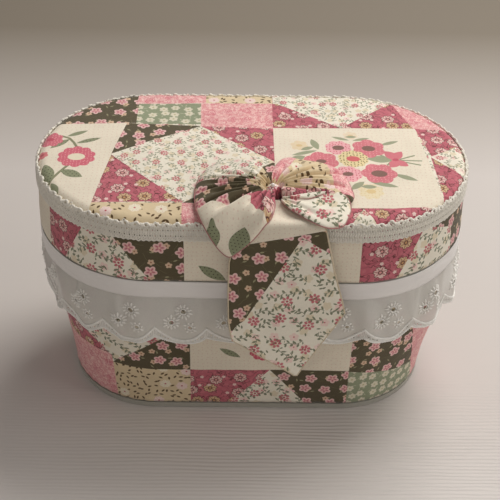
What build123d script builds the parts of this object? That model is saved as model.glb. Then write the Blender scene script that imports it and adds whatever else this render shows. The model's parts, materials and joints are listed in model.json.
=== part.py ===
from build123d import *
import os
from math import atan, degrees, radians, sin, cos

# Fabric-covered sewing box with a hinged padded lid, a bow with a hanging
# tail, and two lift-out compartment trays inside a moulded plastic tub.
# Millimetres.  +Z up, front towards -Y, long axis along X.  The origin is the
# centre of the tub's underside.
os.makedirs("parts", exist_ok=True)

# ------------------------------------------------------------------ dimensions
half_straight = 67.0        # half the distance between the two end-arc centres

# body
foot_radius = 65.4          # bare plastic foot of the tub
foot_height = 5.0
body_radius_foot = 65.2     # covered outside, extrapolated to the table
body_flare = 0.1254         # growth of that radius per millimetre of height
cover_bottom = 6.2
cover_thick = 0.9
wadding_thick = 1.5
skin_gap = 0.1
tub_wall = 2.0
tub_floor = 3.0
flange_bottom = 131.0
flange_top = 133.6
flange_radius = 83.0
lip_outer = 79.6
lip_inner = 77.4
lip_top = 140.0
lining_thick = 0.8
ribbon_bottom = 119.6
ribbon_top = 133.4
ruffle_root_bottom = 118.0
ruffle_root_top = 130.8
ruffle_hem = 81.0

# lid
lid_bottom = 133.8
lid_shell_top = 174.0
lid_plate_under = 172.0
lid_shell_radius_bottom = 83.0
lid_shell_radius_top = 81.4
lid_wall = 2.4
lid_crown = 183.0           # top of the padded cover
lid_hinge_y = 84.6
lid_hinge_z = 134.0

# trays
upper_tray_floor_z = 102.0
upper_tray_rim_z = 140.0
tray_flange = 1.6
lower_tray_floor_z = 56.0
lower_tray_rim_z = 92.0
tray_wall = 1.6
divider_thick = 1.6

# bow tail
tail_tilt = 4.2             # degrees the hanging tail leans out from vertical
tail_thick = 2.0


def body_radius(z):
    """Outside radius of the covered body at height z."""
    return body_radius_foot + body_flare * z


def stadium(z0, r0, z1, r1, mode=Mode.ADD):
    """Solid with a stadium plan: end radius r0 at z0, r1 at z1."""
    with BuildSketch(Plane.XY.offset(z0)) as plan:
        SlotCenterToCenter(2 * half_straight, 2 * r0)
    lean = -degrees(atan((r1 - r0) / (z1 - z0)))
    extrude(plan.sketch, amount=z1 - z0, taper=lean, mode=mode)


def finish(builder, name):
    """Label a finished piece and write it."""
    builder.part.label = name
    export_step(builder.part, f"parts/{name}.step")


# ------------------------------------------------------------------------ body
# Moulded tub: bare foot, tapered wall, outward flange for the trims and an
# upstanding lip that locates the lid and carries the upper tray.
with BuildPart() as tub_shell:
    stadium(0, foot_radius, foot_height, foot_radius + 0.4)
    stadium(foot_height, body_radius(foot_height) - 2.6, flange_bottom, body_radius(flange_bottom) - 2.6)
    stadium(flange_bottom, flange_radius, flange_top, flange_radius)
    stadium(flange_top, lip_outer, lip_top, lip_outer)
    fillet(tub_shell.edges().group_by(Axis.Z)[0], 1.0)
    stadium(tub_floor, body_radius(tub_floor) - 2.6 - tub_wall, flange_top,
            body_radius(flange_top) - 2.6 - tub_wall, mode=Mode.SUBTRACT)
    stadium(flange_top - 0.01, lip_inner, lip_top, lip_inner, mode=Mode.SUBTRACT)
finish(tub_shell, "tub_shell")

# Thin wadding wrapped round the tub, under the cover.
with BuildPart() as body_wadding:
    stadium(cover_bottom + 1.0, body_radius(cover_bottom + 1.0) - cover_thick - skin_gap,
            flange_bottom - 0.2, body_radius(flange_bottom - 0.2) - cover_thick - skin_gap)
    stadium(cover_bottom + 1.0, body_radius(cover_bottom + 1.0) - cover_thick - skin_gap - wadding_thick,
            flange_bottom - 0.2, body_radius(flange_bottom - 0.2) - cover_thick - skin_gap - wadding_thick,
            mode=Mode.SUBTRACT)
finish(body_wadding, "body_wadding")

# Patchwork-print cotton cover of the body.
with BuildPart() as body_cover:
    stadium(cover_bottom, body_radius(cover_bottom), flange_bottom - 0.1, body_radius(flange_bottom - 0.1))
    stadium(cover_bottom, body_radius(cover_bottom) - cover_thick, flange_bottom - 0.1,
            body_radius(flange_bottom - 0.1) - cover_thick, mode=Mode.SUBTRACT)
finish(body_cover, "body_cover")

# Cotton lining inside the tub.
lining_out = 2.6 + tub_wall + skin_gap
with BuildPart() as body_lining:
    stadium(tub_floor + 0.1, body_radius(tub_floor + 0.1) - lining_out, 128.0, body_radius(128.0) - lining_out)
    stadium(tub_floor + 0.1, body_radius(tub_floor + 0.1) - lining_out - lining_thick, 128.0,
            body_radius(128.0) - lining_out - lining_thick, mode=Mode.SUBTRACT)
finish(body_lining, "body_lining")

# Covered pad on the tub floor.
with BuildPart() as floor_pad:
    stadium(tub_floor + 0.1, 60.0, tub_floor + 4.1, 60.0)
    fillet(floor_pad.edges().group_by(Axis.Z)[-1], 1.6)
finish(floor_pad, "floor_pad")

# Moulded ring that the lower tray stands on.
ledge_bottom = 44.0
with BuildPart() as lower_tray_ledge:
    stadium(ledge_bottom, body_radius(ledge_bottom) - lining_out - lining_thick - 0.1,
            lower_tray_floor_z, body_radius(lower_tray_floor_z) - lining_out - lining_thick - 0.1)
    stadium(ledge_bottom, 63.0, lower_tray_floor_z, 63.0, mode=Mode.SUBTRACT)
    chamfer(lower_tray_ledge.edges().group_by(Axis.Z)[0].sort_by(SortBy.LENGTH)[0:1], 0.6)
finish(lower_tray_ledge, "lower_tray_ledge")

# Gathered eyelet ruffle: a narrow root under the ribbon and a flared skirt.
with BuildPart() as eyelet_ruffle:
    stadium(ruffle_root_bottom, 83.2, ruffle_root_top, 83.2)
    stadium(ruffle_hem, 88.6, ruffle_root_bottom, 83.2)
    stadium(ruffle_root_bottom, 82.0, ruffle_root_top, 82.0, mode=Mode.SUBTRACT)
    stadium(ruffle_hem, 86.6, ruffle_root_bottom, 82.0, mode=Mode.SUBTRACT)
finish(eyelet_ruffle, "eyelet_ruffle")

# Satin ribbon round the top of the body, over the ruffle's root.
with BuildPart() as satin_ribbon:
    stadium(ribbon_bottom, 84.2, ribbon_top, 84.2)
    stadium(ribbon_bottom, 83.4, ribbon_top, 83.4, mode=Mode.SUBTRACT)
finish(satin_ribbon, "satin_ribbon")

# Fabric hinge at the back: the half that is glued to the body.
with BuildPart() as hinge_strip_lower:
    with BuildSketch(Plane.XZ.offset(-84.35)):
        with Locations((0, 127.0)):
            Rectangle(120.0, 12.0)
    extrude(amount=-0.55)
    fillet(hinge_strip_lower.edges().filter_by(Axis.Y), 1.5)
finish(hinge_strip_lower, "hinge_strip_lower")

# ------------------------------------------------------------------------- lid
def lid_shell_radius(z):
    """Outside radius of the lid shell at height z."""
    t = (z - lid_bottom) / (lid_shell_top - lid_bottom)
    return lid_shell_radius_bottom + t * (lid_shell_radius_top - lid_shell_radius_bottom)


with BuildPart() as lid_shell:
    stadium(lid_bottom, lid_shell_radius(lid_bottom), lid_shell_top, lid_shell_radius(lid_shell_top))
    fillet(lid_shell.edges().group_by(Axis.Z)[-1], 0.8)
    stadium(lid_bottom, lid_shell_radius(lid_bottom) - lid_wall, lid_plate_under,
            lid_shell_radius(lid_plate_under) - lid_wall, mode=Mode.SUBTRACT)
finish(lid_shell, "lid_shell")

# Print cotton round the lid's side.
band_bottom = lid_bottom + 0.4
with BuildPart() as lid_band_cover:
    stadium(band_bottom, lid_shell_radius(band_bottom) + 1.4, lid_shell_top, lid_shell_radius(lid_shell_top) + 1.4)
    stadium(band_bottom, lid_shell_radius(band_bottom) + 0.15, lid_shell_top,
            lid_shell_radius(lid_shell_top) + 0.15, mode=Mode.SUBTRACT)
finish(lid_band_cover, "lid_band_cover")

# Wadding that crowns the lid.
with BuildPart() as lid_wadding:
    stadium(lid_shell_top + 0.1, 81.0, 181.0, 80.2)
    fillet(lid_wadding.edges().group_by(Axis.Z)[-1], 5.0)
finish(lid_wadding, "lid_wadding")

# Space the wadding takes inside the top cover.
with BuildPart() as lid_top_space:
    stadium(lid_shell_top + 0.1, 81.1, 181.1, 80.3)
    fillet(lid_top_space.edges().group_by(Axis.Z)[-1], 5.0)

# Print cotton over the crown.
with BuildPart() as lid_top_cover:
    stadium(lid_shell_top + 0.1, 82.8, lid_crown, 82.2)
    fillet(lid_top_cover.edges().group_by(Axis.Z)[-1], 6.6)
    add(lid_top_space.part, mode=Mode.SUBTRACT)
finish(lid_top_cover, "lid_top_cover")

# Narrow cotton lace round the lid's top edge.
with BuildPart() as crochet_lace:
    stadium(167.0, 84.5, 180.2, 84.1)
    stadium(167.0, 83.3, 180.2, 82.9, mode=Mode.SUBTRACT)
finish(crochet_lace, "crochet_lace")

# Quilted lining under the lid's top and plain lining round its side.
with BuildPart() as lid_lining:
    stadium(169.0, 78.0, 171.9, 78.0)
    fillet(lid_lining.edges().group_by(Axis.Z)[0], 1.2)
finish(lid_lining, "lid_lining")

with BuildPart() as lid_band_lining:
    stadium(144.0, lid_shell_radius(144.0) - lid_wall - 0.1, 168.8, lid_shell_radius(168.8) - lid_wall - 0.1)
    stadium(144.0, lid_shell_radius(144.0) - lid_wall - 0.9, 168.8, lid_shell_radius(168.8) - lid_wall - 0.9,
            mode=Mode.SUBTRACT)
finish(lid_band_lining, "lid_band_lining")

# The half of the fabric hinge that is glued to the lid.
with BuildPart() as hinge_strip_upper:
    with BuildSketch(Plane.XZ.offset(-84.5)):
        with Locations((0, 140.4)):
            Rectangle(120.0, 11.2)
    extrude(amount=-0.6)
    fillet(hinge_strip_upper.edges().filter_by(Axis.Y), 1.5)
finish(hinge_strip_upper, "hinge_strip_upper")

# ------------------------------------------------------------------------- bow
bow_z = lid_crown + 0.1
left_loop = [(8.5, -48), (6, -38), (3, -27), (-3, -18.5), (-11, -15.5), (-19, -17), (-26, -21), (-32, -28),
             (-37, -38), (-39, -52), (-38.3, -69), (-35.3, -83), (-32.5, -92), (-14, -92), (-10, -85),
             (-5, -77.5), (3.5, -67), (6.6, -61), (6.6, -53)]
with BuildPart() as bow_loop_left:
    with BuildSketch(Plane.XY.offset(bow_z)):
        Polygon(*left_loop, align=None)
    extrude(amount=9.5)
    # the lower edge of the loop folds down over the lid's front edge
    with BuildSketch(Plane.XZ.offset(86.0)):
        Polygon((-33, 186), (-32, 175), (-24, 168), (-18, 163), (-13, 165), (-11, 172), (-12, 186), align=None)
    extrude(amount=6.0)
finish(bow_loop_left, "bow_loop_left")

with BuildPart() as bow_loop_right_upper:
    with BuildSketch(Plane.XY.offset(bow_z)):
        Polygon((18.2, -50), (12.8, -44), (14.5, -31), (20, -19.5), (26, -15.5), (34, -17.5), (43, -19.8),
                (51, -22.8), (58, -29), (63, -39.5), (65.5, -51), (66, -59), (46, -60), (19, -56.5), align=None)
    extrude(amount=9.0)
    fillet(bow_loop_right_upper.edges().group_by(Axis.Z)[-1], 2.5)
finish(bow_loop_right_upper, "bow_loop_right_upper")

with BuildPart() as bow_loop_right_lower:
    with BuildSketch(Plane.XY.offset(bow_z)):
        Polygon((19.5, -59.6), (44, -62.2), (61.5, -61.5), (63.5, -68), (62.8, -76), (60.2, -83.5), (56.6, -88.8),
                (51, -91.2), (46.2, -88.5), (44, -83.5), (31, -71.5), (19.5, -63.5), align=None)
    extrude(amount=8.0)
    fillet(bow_loop_right_lower.edges().group_by(Axis.Z)[-1], 1.2)
finish(bow_loop_right_lower, "bow_loop_right_lower")

# Gathered centre of the bow.
with BuildPart() as bow_knot:
    with BuildSketch(Plane.XY.offset(bow_z)):
        with Locations((12.5, -57)):
            Ellipse(5.0, 7.5)
    extrude(amount=9.0)
    fillet(bow_knot.edges().group_by(Axis.Z)[-1], 3.0)
finish(bow_knot, "bow_knot")

# Small pearl button on the knot.
with BuildPart() as bow_pearl:
    with BuildSketch(Plane.XY.offset(bow_z + 9.1)):
        with Locations((12.5, -57)):
            Circle(3.4)
    extrude(amount=3.2)
    fillet(bow_pearl.edges().group_by(Axis.Z)[-1], 2.2)
finish(bow_pearl, "bow_pearl")

# Upper part of the bow's tail: lies on the crown and turns down over the
# front edge, where the hanging part folds on it.
with BuildPart() as bow_tail_top:
    with BuildSketch(Plane.XY.offset(bow_z)):
        Polygon((7.5, -65.5), (17, -65.5), (30, -73.5), (43, -85.5), (43, -86.9), (-8, -86.9), (-2, -78.5), align=None)
    extrude(amount=2.0)
    with BuildSketch(Plane.XZ.offset(85.3)):
        Polygon((-8, 185.2), (43, 185.2), (44, 177.5), (-7.5, 177.5), align=None)
    extrude(amount=1.6)
finish(bow_tail_top, "bow_tail_top")

# Hanging part of the tail: a stiffened double layer of print cotton.
tail_axis_y = -88.6
tail_axis_z = 181.3
s, c = sin(radians(tail_tilt)), cos(radians(tail_tilt))
tail_plane = Plane(origin=(0, tail_axis_y + tail_thick / 2, tail_axis_z), x_dir=(1, 0, 0), z_dir=(0, -c, s))
with BuildPart() as bow_tail_hanging:
    with BuildSketch(tail_plane):
        Polygon((-1, -1.4), (-4, -8), (-8.5, -17), (-15, -28), (-15.5, -58), (-12.5, -88.5),
                (32, -117.6), (62, -65.5), (53, -31), (48.5, -9), (46, -1.4), align=None)
    extrude(amount=tail_thick)
finish(bow_tail_hanging, "bow_tail_hanging")

# ----------------------------------------------------------------------- trays
# Upper tray: moulded, hung on the tub's lip by its flange.
upper_r0, upper_r1 = 70.5, 75.2
with BuildPart() as upper_tray:
    stadium(upper_tray_floor_z, upper_r0, upper_tray_rim_z, upper_r1)
    fillet(upper_tray.edges().group_by(Axis.Z)[0], 3.0)
    stadium(upper_tray_rim_z, 78.4, upper_tray_rim_z + tray_flange, 78.4)
    stadium(upper_tray_floor_z + 1.8, upper_r0 - tray_wall, upper_tray_rim_z + tray_flange,
            upper_r1 - tray_wall, mode=Mode.SUBTRACT)
    fillet(upper_tray.edges().filter_by_position(Axis.Z, upper_tray_floor_z + 1.75, upper_tray_floor_z + 1.85), 2.0)
finish(upper_tray, "upper_tray")

with BuildPart() as upper_tray_long_divider:
    with BuildSketch(Plane.XZ.offset(-divider_thick / 2)):
        Polygon((-133.0, 103.85), (133.0, 103.85), (135.4, 106.2), (136.8, 118), (136.8, 138.0),
                (-136.8, 138.0), (-136.8, 118), (-135.4, 106.2), align=None)
    extrude(amount=divider_thick)
    fillet(upper_tray_long_divider.edges().filter_by(Axis.Y).group_by(Axis.Z)[-1], 4.0)
finish(upper_tray_long_divider, "upper_tray_long_divider")

with BuildPart() as upper_tray_cross_dividers:
    for x in (-45.0, 45.0):
        with BuildSketch(Plane.YZ.offset(x - divider_thick / 2)):
            Polygon((0.95, 103.85), (66.3, 103.85), (68.7, 106.2), (72.9, 138.0), (0.95, 138.0), align=None)
            Polygon((-0.95, 103.85), (-66.3, 103.85), (-68.7, 106.2), (-72.9, 138.0), (-0.95, 138.0), align=None)
        extrude(amount=divider_thick)
finish(upper_tray_cross_dividers, "upper_tray_cross_dividers")

# Folded ribbon tabs at the tray's ends, to lift it by.
with BuildPart() as upper_tray_pull_tabs:
    for side in (-1, 1):
        with BuildSketch(Plane.YZ.offset(side * 137.8 - 0.45)):
            with Locations((0, 137.0)):
                RectangleRounded(13.0, 26.0, 3.0)
        extrude(amount=0.9)
finish(upper_tray_pull_tabs, "upper_tray_pull_tabs")

# Lower tray: stands on the ledge inside the tub.
lower_r0, lower_r1 = 64.5, 68.0
with BuildPart() as lower_tray:
    stadium(lower_tray_floor_z, lower_r0, lower_tray_rim_z, lower_r1)
    fillet(lower_tray.edges().group_by(Axis.Z)[0], 0.8)
    stadium(lower_tray_rim_z - 2.4, lower_r1 + 1.0, lower_tray_rim_z, lower_r1 + 1.0)
    fillet(lower_tray.edges().group_by(Axis.Z)[-1], 0.8)
    stadium(lower_tray_floor_z + 1.8, lower_r0 - tray_wall, lower_tray_rim_z, lower_r1 - tray_wall,
            mode=Mode.SUBTRACT)
    fillet(lower_tray.edges().filter_by_position(Axis.Z, lower_tray_floor_z + 1.75, lower_tray_floor_z + 1.85), 2.0)
finish(lower_tray, "lower_tray")

with BuildPart() as lower_tray_dividers:
    for x in (-40.0, 40.0):
        with BuildSketch(Plane.YZ.offset(x - divider_thick / 2)):
            Polygon((-60.3, 57.85), (60.3, 57.85), (62.7, 60.2), (65.8, 90.0), (-65.8, 90.0), (-62.7, 60.2),
                    align=None)
        extrude(amount=divider_thick)
finish(lower_tray_dividers, "lower_tray_dividers")

with BuildPart() as lower_tray_pull_tabs:
    for side in (-1, 1):
        with BuildSketch(Plane.YZ.offset(side * 130.2 - 0.45)):
            with Locations((0, 88.0)):
                RectangleRounded(13.0, 24.0, 3.0)
        extrude(amount=0.9)
finish(lower_tray_pull_tabs, "lower_tray_pull_tabs")
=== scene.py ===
import json
import math
import bpy
import bmesh
import numpy as np
from mathutils import Matrix, Vector
from mathutils.geometry import delaunay_2d_cdt

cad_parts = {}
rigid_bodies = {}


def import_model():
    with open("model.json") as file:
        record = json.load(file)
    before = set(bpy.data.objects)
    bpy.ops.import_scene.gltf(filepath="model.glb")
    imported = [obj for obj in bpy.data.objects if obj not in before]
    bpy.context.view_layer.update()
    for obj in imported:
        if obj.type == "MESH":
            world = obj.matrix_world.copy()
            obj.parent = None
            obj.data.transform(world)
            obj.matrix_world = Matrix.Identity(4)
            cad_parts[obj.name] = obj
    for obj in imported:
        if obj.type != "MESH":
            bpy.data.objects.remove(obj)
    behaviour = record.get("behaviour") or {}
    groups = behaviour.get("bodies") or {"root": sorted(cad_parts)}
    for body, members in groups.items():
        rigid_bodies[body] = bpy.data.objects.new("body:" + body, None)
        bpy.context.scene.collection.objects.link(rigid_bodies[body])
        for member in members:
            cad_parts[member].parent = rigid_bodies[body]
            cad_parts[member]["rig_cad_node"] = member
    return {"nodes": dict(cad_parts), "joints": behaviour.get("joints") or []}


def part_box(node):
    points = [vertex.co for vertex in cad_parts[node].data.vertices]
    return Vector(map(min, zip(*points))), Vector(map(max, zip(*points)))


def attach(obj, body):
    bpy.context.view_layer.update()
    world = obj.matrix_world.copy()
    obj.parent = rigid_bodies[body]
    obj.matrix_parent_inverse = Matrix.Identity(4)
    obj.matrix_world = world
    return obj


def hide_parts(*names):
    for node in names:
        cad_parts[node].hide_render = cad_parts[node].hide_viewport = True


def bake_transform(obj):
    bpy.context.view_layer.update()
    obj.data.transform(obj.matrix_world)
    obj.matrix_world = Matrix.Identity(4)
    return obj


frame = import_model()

for o in list(bpy.data.objects):
    if "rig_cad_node" not in o and not o.name.startswith("body:"):
        bpy.data.objects.remove(o)
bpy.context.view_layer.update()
pi = math.pi

# ---------------------------------------------------------------- frame sizes
def node_mm(name):
    lo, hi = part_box(name)
    return np.array(lo) * 1000, np.array(hi) * 1000


_lo, _hi = node_mm("satin_ribbon")
RIBBON_R = _hi[1]
HS = _hi[0] - _hi[1]                      # half the straight side of the plan
RIBBON_Z = (_lo[2], _hi[2])
_lo, _hi = node_mm("body_cover")
BODY_Z = (_lo[2], _hi[2])
BODY_R1 = _hi[1]                          # outside radius at the cover's top
BODY_FLARE = 0.1254
_lo, _hi = node_mm("lid_band_cover")
BAND_Z = (_lo[2], _hi[2])
BAND_R = _hi[1]
_lo, _hi = node_mm("lid_top_cover")
TOP_Z = (_lo[2], _hi[2])
_lo, _hi = node_mm("eyelet_ruffle")
RUFFLE_Z = (_lo[2], _hi[2])
HINGE = [j for j in frame["joints"] if j["name"] == "lid_hinge"][0]["pos_m"]
TAIL_AXIS = [j for j in frame["joints"] if j["name"] == "tail_lift"][0]["pos_m"]


def body_r(z):
    return BODY_R1 + BODY_FLARE * (z - BODY_Z[1])


def band_r(z):
    return BAND_R - 0.0402 * (z - BAND_Z[0])


# ------------------------------------------------------------- node arithmetic
def srgb(r, g, b):
    out = []
    for c in (r, g, b):
        c /= 255
        out.append(c / 12.92 if c <= 0.04045 else ((c + 0.055) / 1.055) ** 2.4)
    return tuple(out)


class S:
    """A socket of a node tree, with arithmetic."""

    def __init__(self, g, o):
        self.g, self.o = g, o

    def __add__(self, b): return self.g.math("ADD", self, b)
    def __radd__(self, b): return self.g.math("ADD", b, self)
    def __sub__(self, b): return self.g.math("SUBTRACT", self, b)
    def __rsub__(self, b): return self.g.math("SUBTRACT", b, self)
    def __mul__(self, b): return self.g.math("MULTIPLY", self, b)
    def __rmul__(self, b): return self.g.math("MULTIPLY", b, self)
    def __truediv__(self, b): return self.g.math("DIVIDE", self, b)
    def __neg__(self): return self.g.math("MULTIPLY", self, -1.0)


class Graph:
    def __init__(self, name):
        self.mat = bpy.data.materials.new(name)
        self.mat.use_nodes = True
        self.t = self.mat.node_tree
        self.t.nodes.clear()
        self.out = self.t.nodes.new("ShaderNodeOutputMaterial")

    def link(self, v, sock):
        if isinstance(v, S):
            self.t.links.new(v.o, sock)
        elif v is not None:
            if isinstance(v, (tuple, list)) and len(v) == 3 and sock.type == "RGBA":
                v = (*v, 1.0)
            sock.default_value = v

    def math(self, op, *a, clamp=False):
        n = self.t.nodes.new("ShaderNodeMath")
        n.operation, n.use_clamp = op, clamp
        for i, v in enumerate(a):
            self.link(v, n.inputs[i])
        return S(self, n.outputs[0])

    def abs(self, a): return self.math("ABSOLUTE", a)
    def sqrt(self, a): return self.math("SQRT", a)
    def sin(self, a): return self.math("SINE", a)
    def cos(self, a): return self.math("COSINE", a)
    def gt(self, a, b): return self.math("GREATER_THAN", a, b)
    def lt(self, a, b): return self.math("LESS_THAN", a, b)
    def mx(self, a, b): return self.math("MAXIMUM", a, b)
    def mn(self, a, b): return self.math("MINIMUM", a, b)

    def soft(self, f, w=0.1):
        """0 to 1 across an edge at f = 0, w millimetres either side."""
        return self.math("MULTIPLY_ADD", f, 0.5 / w, 0.5, clamp=True)

    def mix(self, fac, a, b):
        n = self.t.nodes.new("ShaderNodeMix")
        n.data_type = "RGBA"
        self.link(fac, n.inputs[0])
        self.link(a, n.inputs[6])
        self.link(b, n.inputs[7])
        return S(self, n.outputs[2])

    def mul_color(self, fac, a, b):
        n = self.t.nodes.new("ShaderNodeMix")
        n.data_type = "RGBA"
        n.blend_type = "MULTIPLY"
        self.link(fac, n.inputs[0])
        self.link(a, n.inputs[6])
        self.link(b, n.inputs[7])
        return S(self, n.outputs[2])

    def vec(self, x, y, z=0.0):
        n = self.t.nodes.new("ShaderNodeCombineXYZ")
        for i, v in enumerate((x, y, z)):
            self.link(v, n.inputs[i])
        return S(self, n.outputs[0])

    def split(self, v):
        n = self.t.nodes.new("ShaderNodeSeparateXYZ")
        self.link(v, n.inputs[0])
        return [S(self, n.outputs[i]) for i in range(3)]

    def uv(self):
        n = self.t.nodes.new("ShaderNodeUVMap")
        n.uv_map = "cloth"
        x, y, _ = self.split(S(self, n.outputs[0]))
        return x * 1000.0, y * 1000.0

    def obj(self):
        n = self.t.nodes.new("ShaderNodeTexCoord")
        return S(self, n.outputs["Object"])

    def noise(self, v, scale, detail=2.0, rough=0.5, dims="3D"):
        n = self.t.nodes.new("ShaderNodeTexNoise")
        n.noise_dimensions = dims
        self.link(v, n.inputs["Vector"])
        n.inputs["Scale"].default_value = scale
        n.inputs["Detail"].default_value = detail
        n.inputs["Roughness"].default_value = rough
        return S(self, n.outputs[0])

    def cells(self, u, v, cell, rand, seed):
        """Scattered cells, cell millimetres apart: local x, y in millimetres and three random numbers."""
        a, b = u / cell + seed * 7.31, v / cell + seed * 3.17
        n = self.t.nodes.new("ShaderNodeTexVoronoi")
        n.voronoi_dimensions = "2D"
        n.inputs["Scale"].default_value = 1.0
        n.inputs["Randomness"].default_value = rand
        self.link(self.vec(a, b), n.inputs["Vector"])
        px, py, _ = self.split(S(self, n.outputs["Position"]))
        c = self.t.nodes.new("ShaderNodeSeparateColor")
        self.t.links.new(n.outputs["Color"], c.inputs[0])
        return (a - px) * cell, (b - py) * cell, [S(self, c.outputs[i]) for i in range(3)]

    def turn(self, x, y, ang):
        c, s = self.cos(ang), self.sin(ang)
        return x * c + y * s, y * c - x * s

    def petals(self, x, y, r, n, depth, phase):
        rr = self.sqrt(x * x + y * y)
        th = self.math("ARCTAN2", y, x) + phase
        c = self.abs(self.cos(th * (n / 2)))
        edge = c * (r * depth) + r * (1 - depth)
        return edge - rr, rr, th, c

    def oval(self, x, y, a, b):
        q = self.sqrt(x * x * (1 / a ** 2) + y * y * (1 / b ** 2))
        return (1.0 - q) * min(a, b)

    def leaf(self, u, v, x1, y1, x2, y2, w):
        """Pointed leaf from one point to another, w wide."""
        cx, cy = (x1 + x2) / 2, (y1 + y2) / 2
        l = math.hypot(x2 - x1, y2 - y1)
        c, s = (x2 - x1) / l, (y2 - y1) / l
        dx, dy = u - cx, v - cy
        p, q = dx * c + dy * s, dy * c - dx * s
        t = p * (2 / l)
        return (1.0 - t * t) * w / 1.0 * 0.5 - self.abs(q), p, q

    def stroke(self, u, v, pts, w):
        f = None
        for (x1, y1), (x2, y2) in zip(pts, pts[1:]):
            l = math.hypot(x2 - x1, y2 - y1)
            c, s = (x2 - x1) / l, (y2 - y1) / l
            dx, dy = u - x1, v - y1
            p = self.math("MINIMUM", self.mx(dx * c + dy * s, 0.0), l)
            ex, ey = dx - p * c, dy - p * s
            g = w / 2 - self.sqrt(ex * ex + ey * ey)
            f = g if f is None else self.mx(f, g)
        return f

    def principled(self, color, rough, **k):
        n = self.t.nodes.new("ShaderNodeBsdfPrincipled")
        self.link(color, n.inputs["Base Color"])
        self.link(rough, n.inputs["Roughness"])
        for key, v in k.items():
            self.link(v, n.inputs[key.replace("_", " ")])
        self.t.links.new(n.outputs[0], self.out.inputs[0])
        self.bsdf = n
        return n

    def bump(self, height, strength, distance, normal=None):
        n = self.t.nodes.new("ShaderNodeBump")
        n.inputs["Strength"].default_value = strength
        n.inputs["Distance"].default_value = distance
        self.link(height, n.inputs["Height"])
        if normal is not None:
            self.link(normal, n.inputs["Normal"])
        return S(self, n.outputs[0])


MATS = {}
GREEN, GREEN_D = srgb(143, 148, 118), srgb(96, 102, 76)


def cloth_finish(g, u, v, color, thread=0.55, rough=0.86, sheen=0.18, fade=0.10):
    """Plain weave: crossing threads in the bump, uneven yarns in the colour."""
    p = g.vec(u, v)
    yarn = g.noise(g.vec(u * 0.35, v * 2.4), 1.0, 2.0)
    yarn2 = g.noise(g.vec(u * 2.4, v * 0.35, 7.0), 1.0, 2.0)
    fine = (yarn + yarn2) * 0.5
    big = g.noise(p, 0.035, 2.0)
    shade = g.math("MULTIPLY_ADD", fine - 0.5, 0.34, 1.0) * g.math("MULTIPLY_ADD", big - 0.5, fade * 2, 1.0)
    col = g.mul_color(1.0, color, g.vec(shade, shade, shade))
    k = 2 * pi / thread
    weave = g.sin(u * k) * g.sin(v * k)
    crease = g.noise(p, 0.09, 3.0)
    n1 = g.bump(crease, 0.35, 0.0012)
    n2 = g.bump(weave * 0.5 + fine, 0.45, 0.00016, n1)
    g.principled(col, g.math("MULTIPLY_ADD", fine, 0.12, rough - 0.06), Normal=n2)
    g.bsdf.inputs["Sheen Weight"].default_value = sheen
    g.bsdf.inputs["Sheen Roughness"].default_value = 0.45
    g.bsdf.inputs["Specular IOR Level"].default_value = 0.25


def leaf_marks(g, u, v, col, cell, seed, a, b, ink, keep=0.3, rand=0.9):
    """Small separate leaves or seeds, scattered."""
    x, y, r = g.cells(u, v, cell, rand, seed)
    x, y = g.turn(x, y, r[0] * 12.566)
    w = (1.0 - x * x * (1 / a ** 2)) * b - g.abs(y)
    return g.mix(g.soft(w, 0.09) * g.gt(r[1], keep), col, ink)


def sprig(g, u, v, col, cell, seed, ink, half=5.5, seg=2.7, rand=0.75):
    x, y, r = g.cells(u, v, cell, rand, seed)
    x, y = g.turn(x, y, r[0] * 6.283)
    x = x + g.sin(y * 0.45) * 0.8
    inside = g.lt(g.abs(y), half)
    stem = g.soft(0.17 - g.abs(x), 0.08) * inside
    yy = g.math("MODULO", y + 40 * seg, seg) - seg / 2
    ax = g.abs(x) - 1.45
    p, q = (ax + yy) * 0.7071, (yy - ax) * 0.7071
    f = (1.0 - p * p * (1 / 1.45 ** 2)) * 0.62 - g.abs(q)
    col = g.mix(stem, col, ink)
    return g.mix(g.soft(f, 0.09) * inside, col, ink)


def print_cream(g, u, v):
    col = srgb(236, 226, 206)
    x, y, r = g.cells(u, v, 3.3, 0.35, 1)
    d = g.sqrt(x * x + y * y)
    return g.mix(g.soft(0.42 - d, 0.16) * 0.42, col, srgb(212, 170, 154))


def vine(g, u, v, col, cell, seed, ink, half=6.5, seg=4.4, rand=0.7):
    """Curved stems with alternate leaves, scattered."""
    x, y, r = g.cells(u, v, cell, rand, seed)
    x, y = g.turn(x, y, r[0] * 6.283)
    x = x + g.sin(y * 0.5 + r[1] * 6.0) * 1.1
    inside = g.lt(g.abs(y), half)
    col = g.mix(g.soft(0.27 - g.abs(x), 0.08) * inside * 0.95, col, ink)
    yy = g.math("MODULO", y + 40 * seg, seg) - seg / 2
    for side in (-1, 1):
        ax, ay = x * side - 1.55, yy + side * 0.9 - 0.5
        p, q = (ax * 0.80 + ay * 0.60), (ay * 0.80 - ax * 0.60)
        f = (1.0 - p * p * (1 / 1.7 ** 2)) * 0.82 - g.abs(q)
        col = g.mix(g.soft(f, 0.1) * inside, col, ink)
    return col


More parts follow.
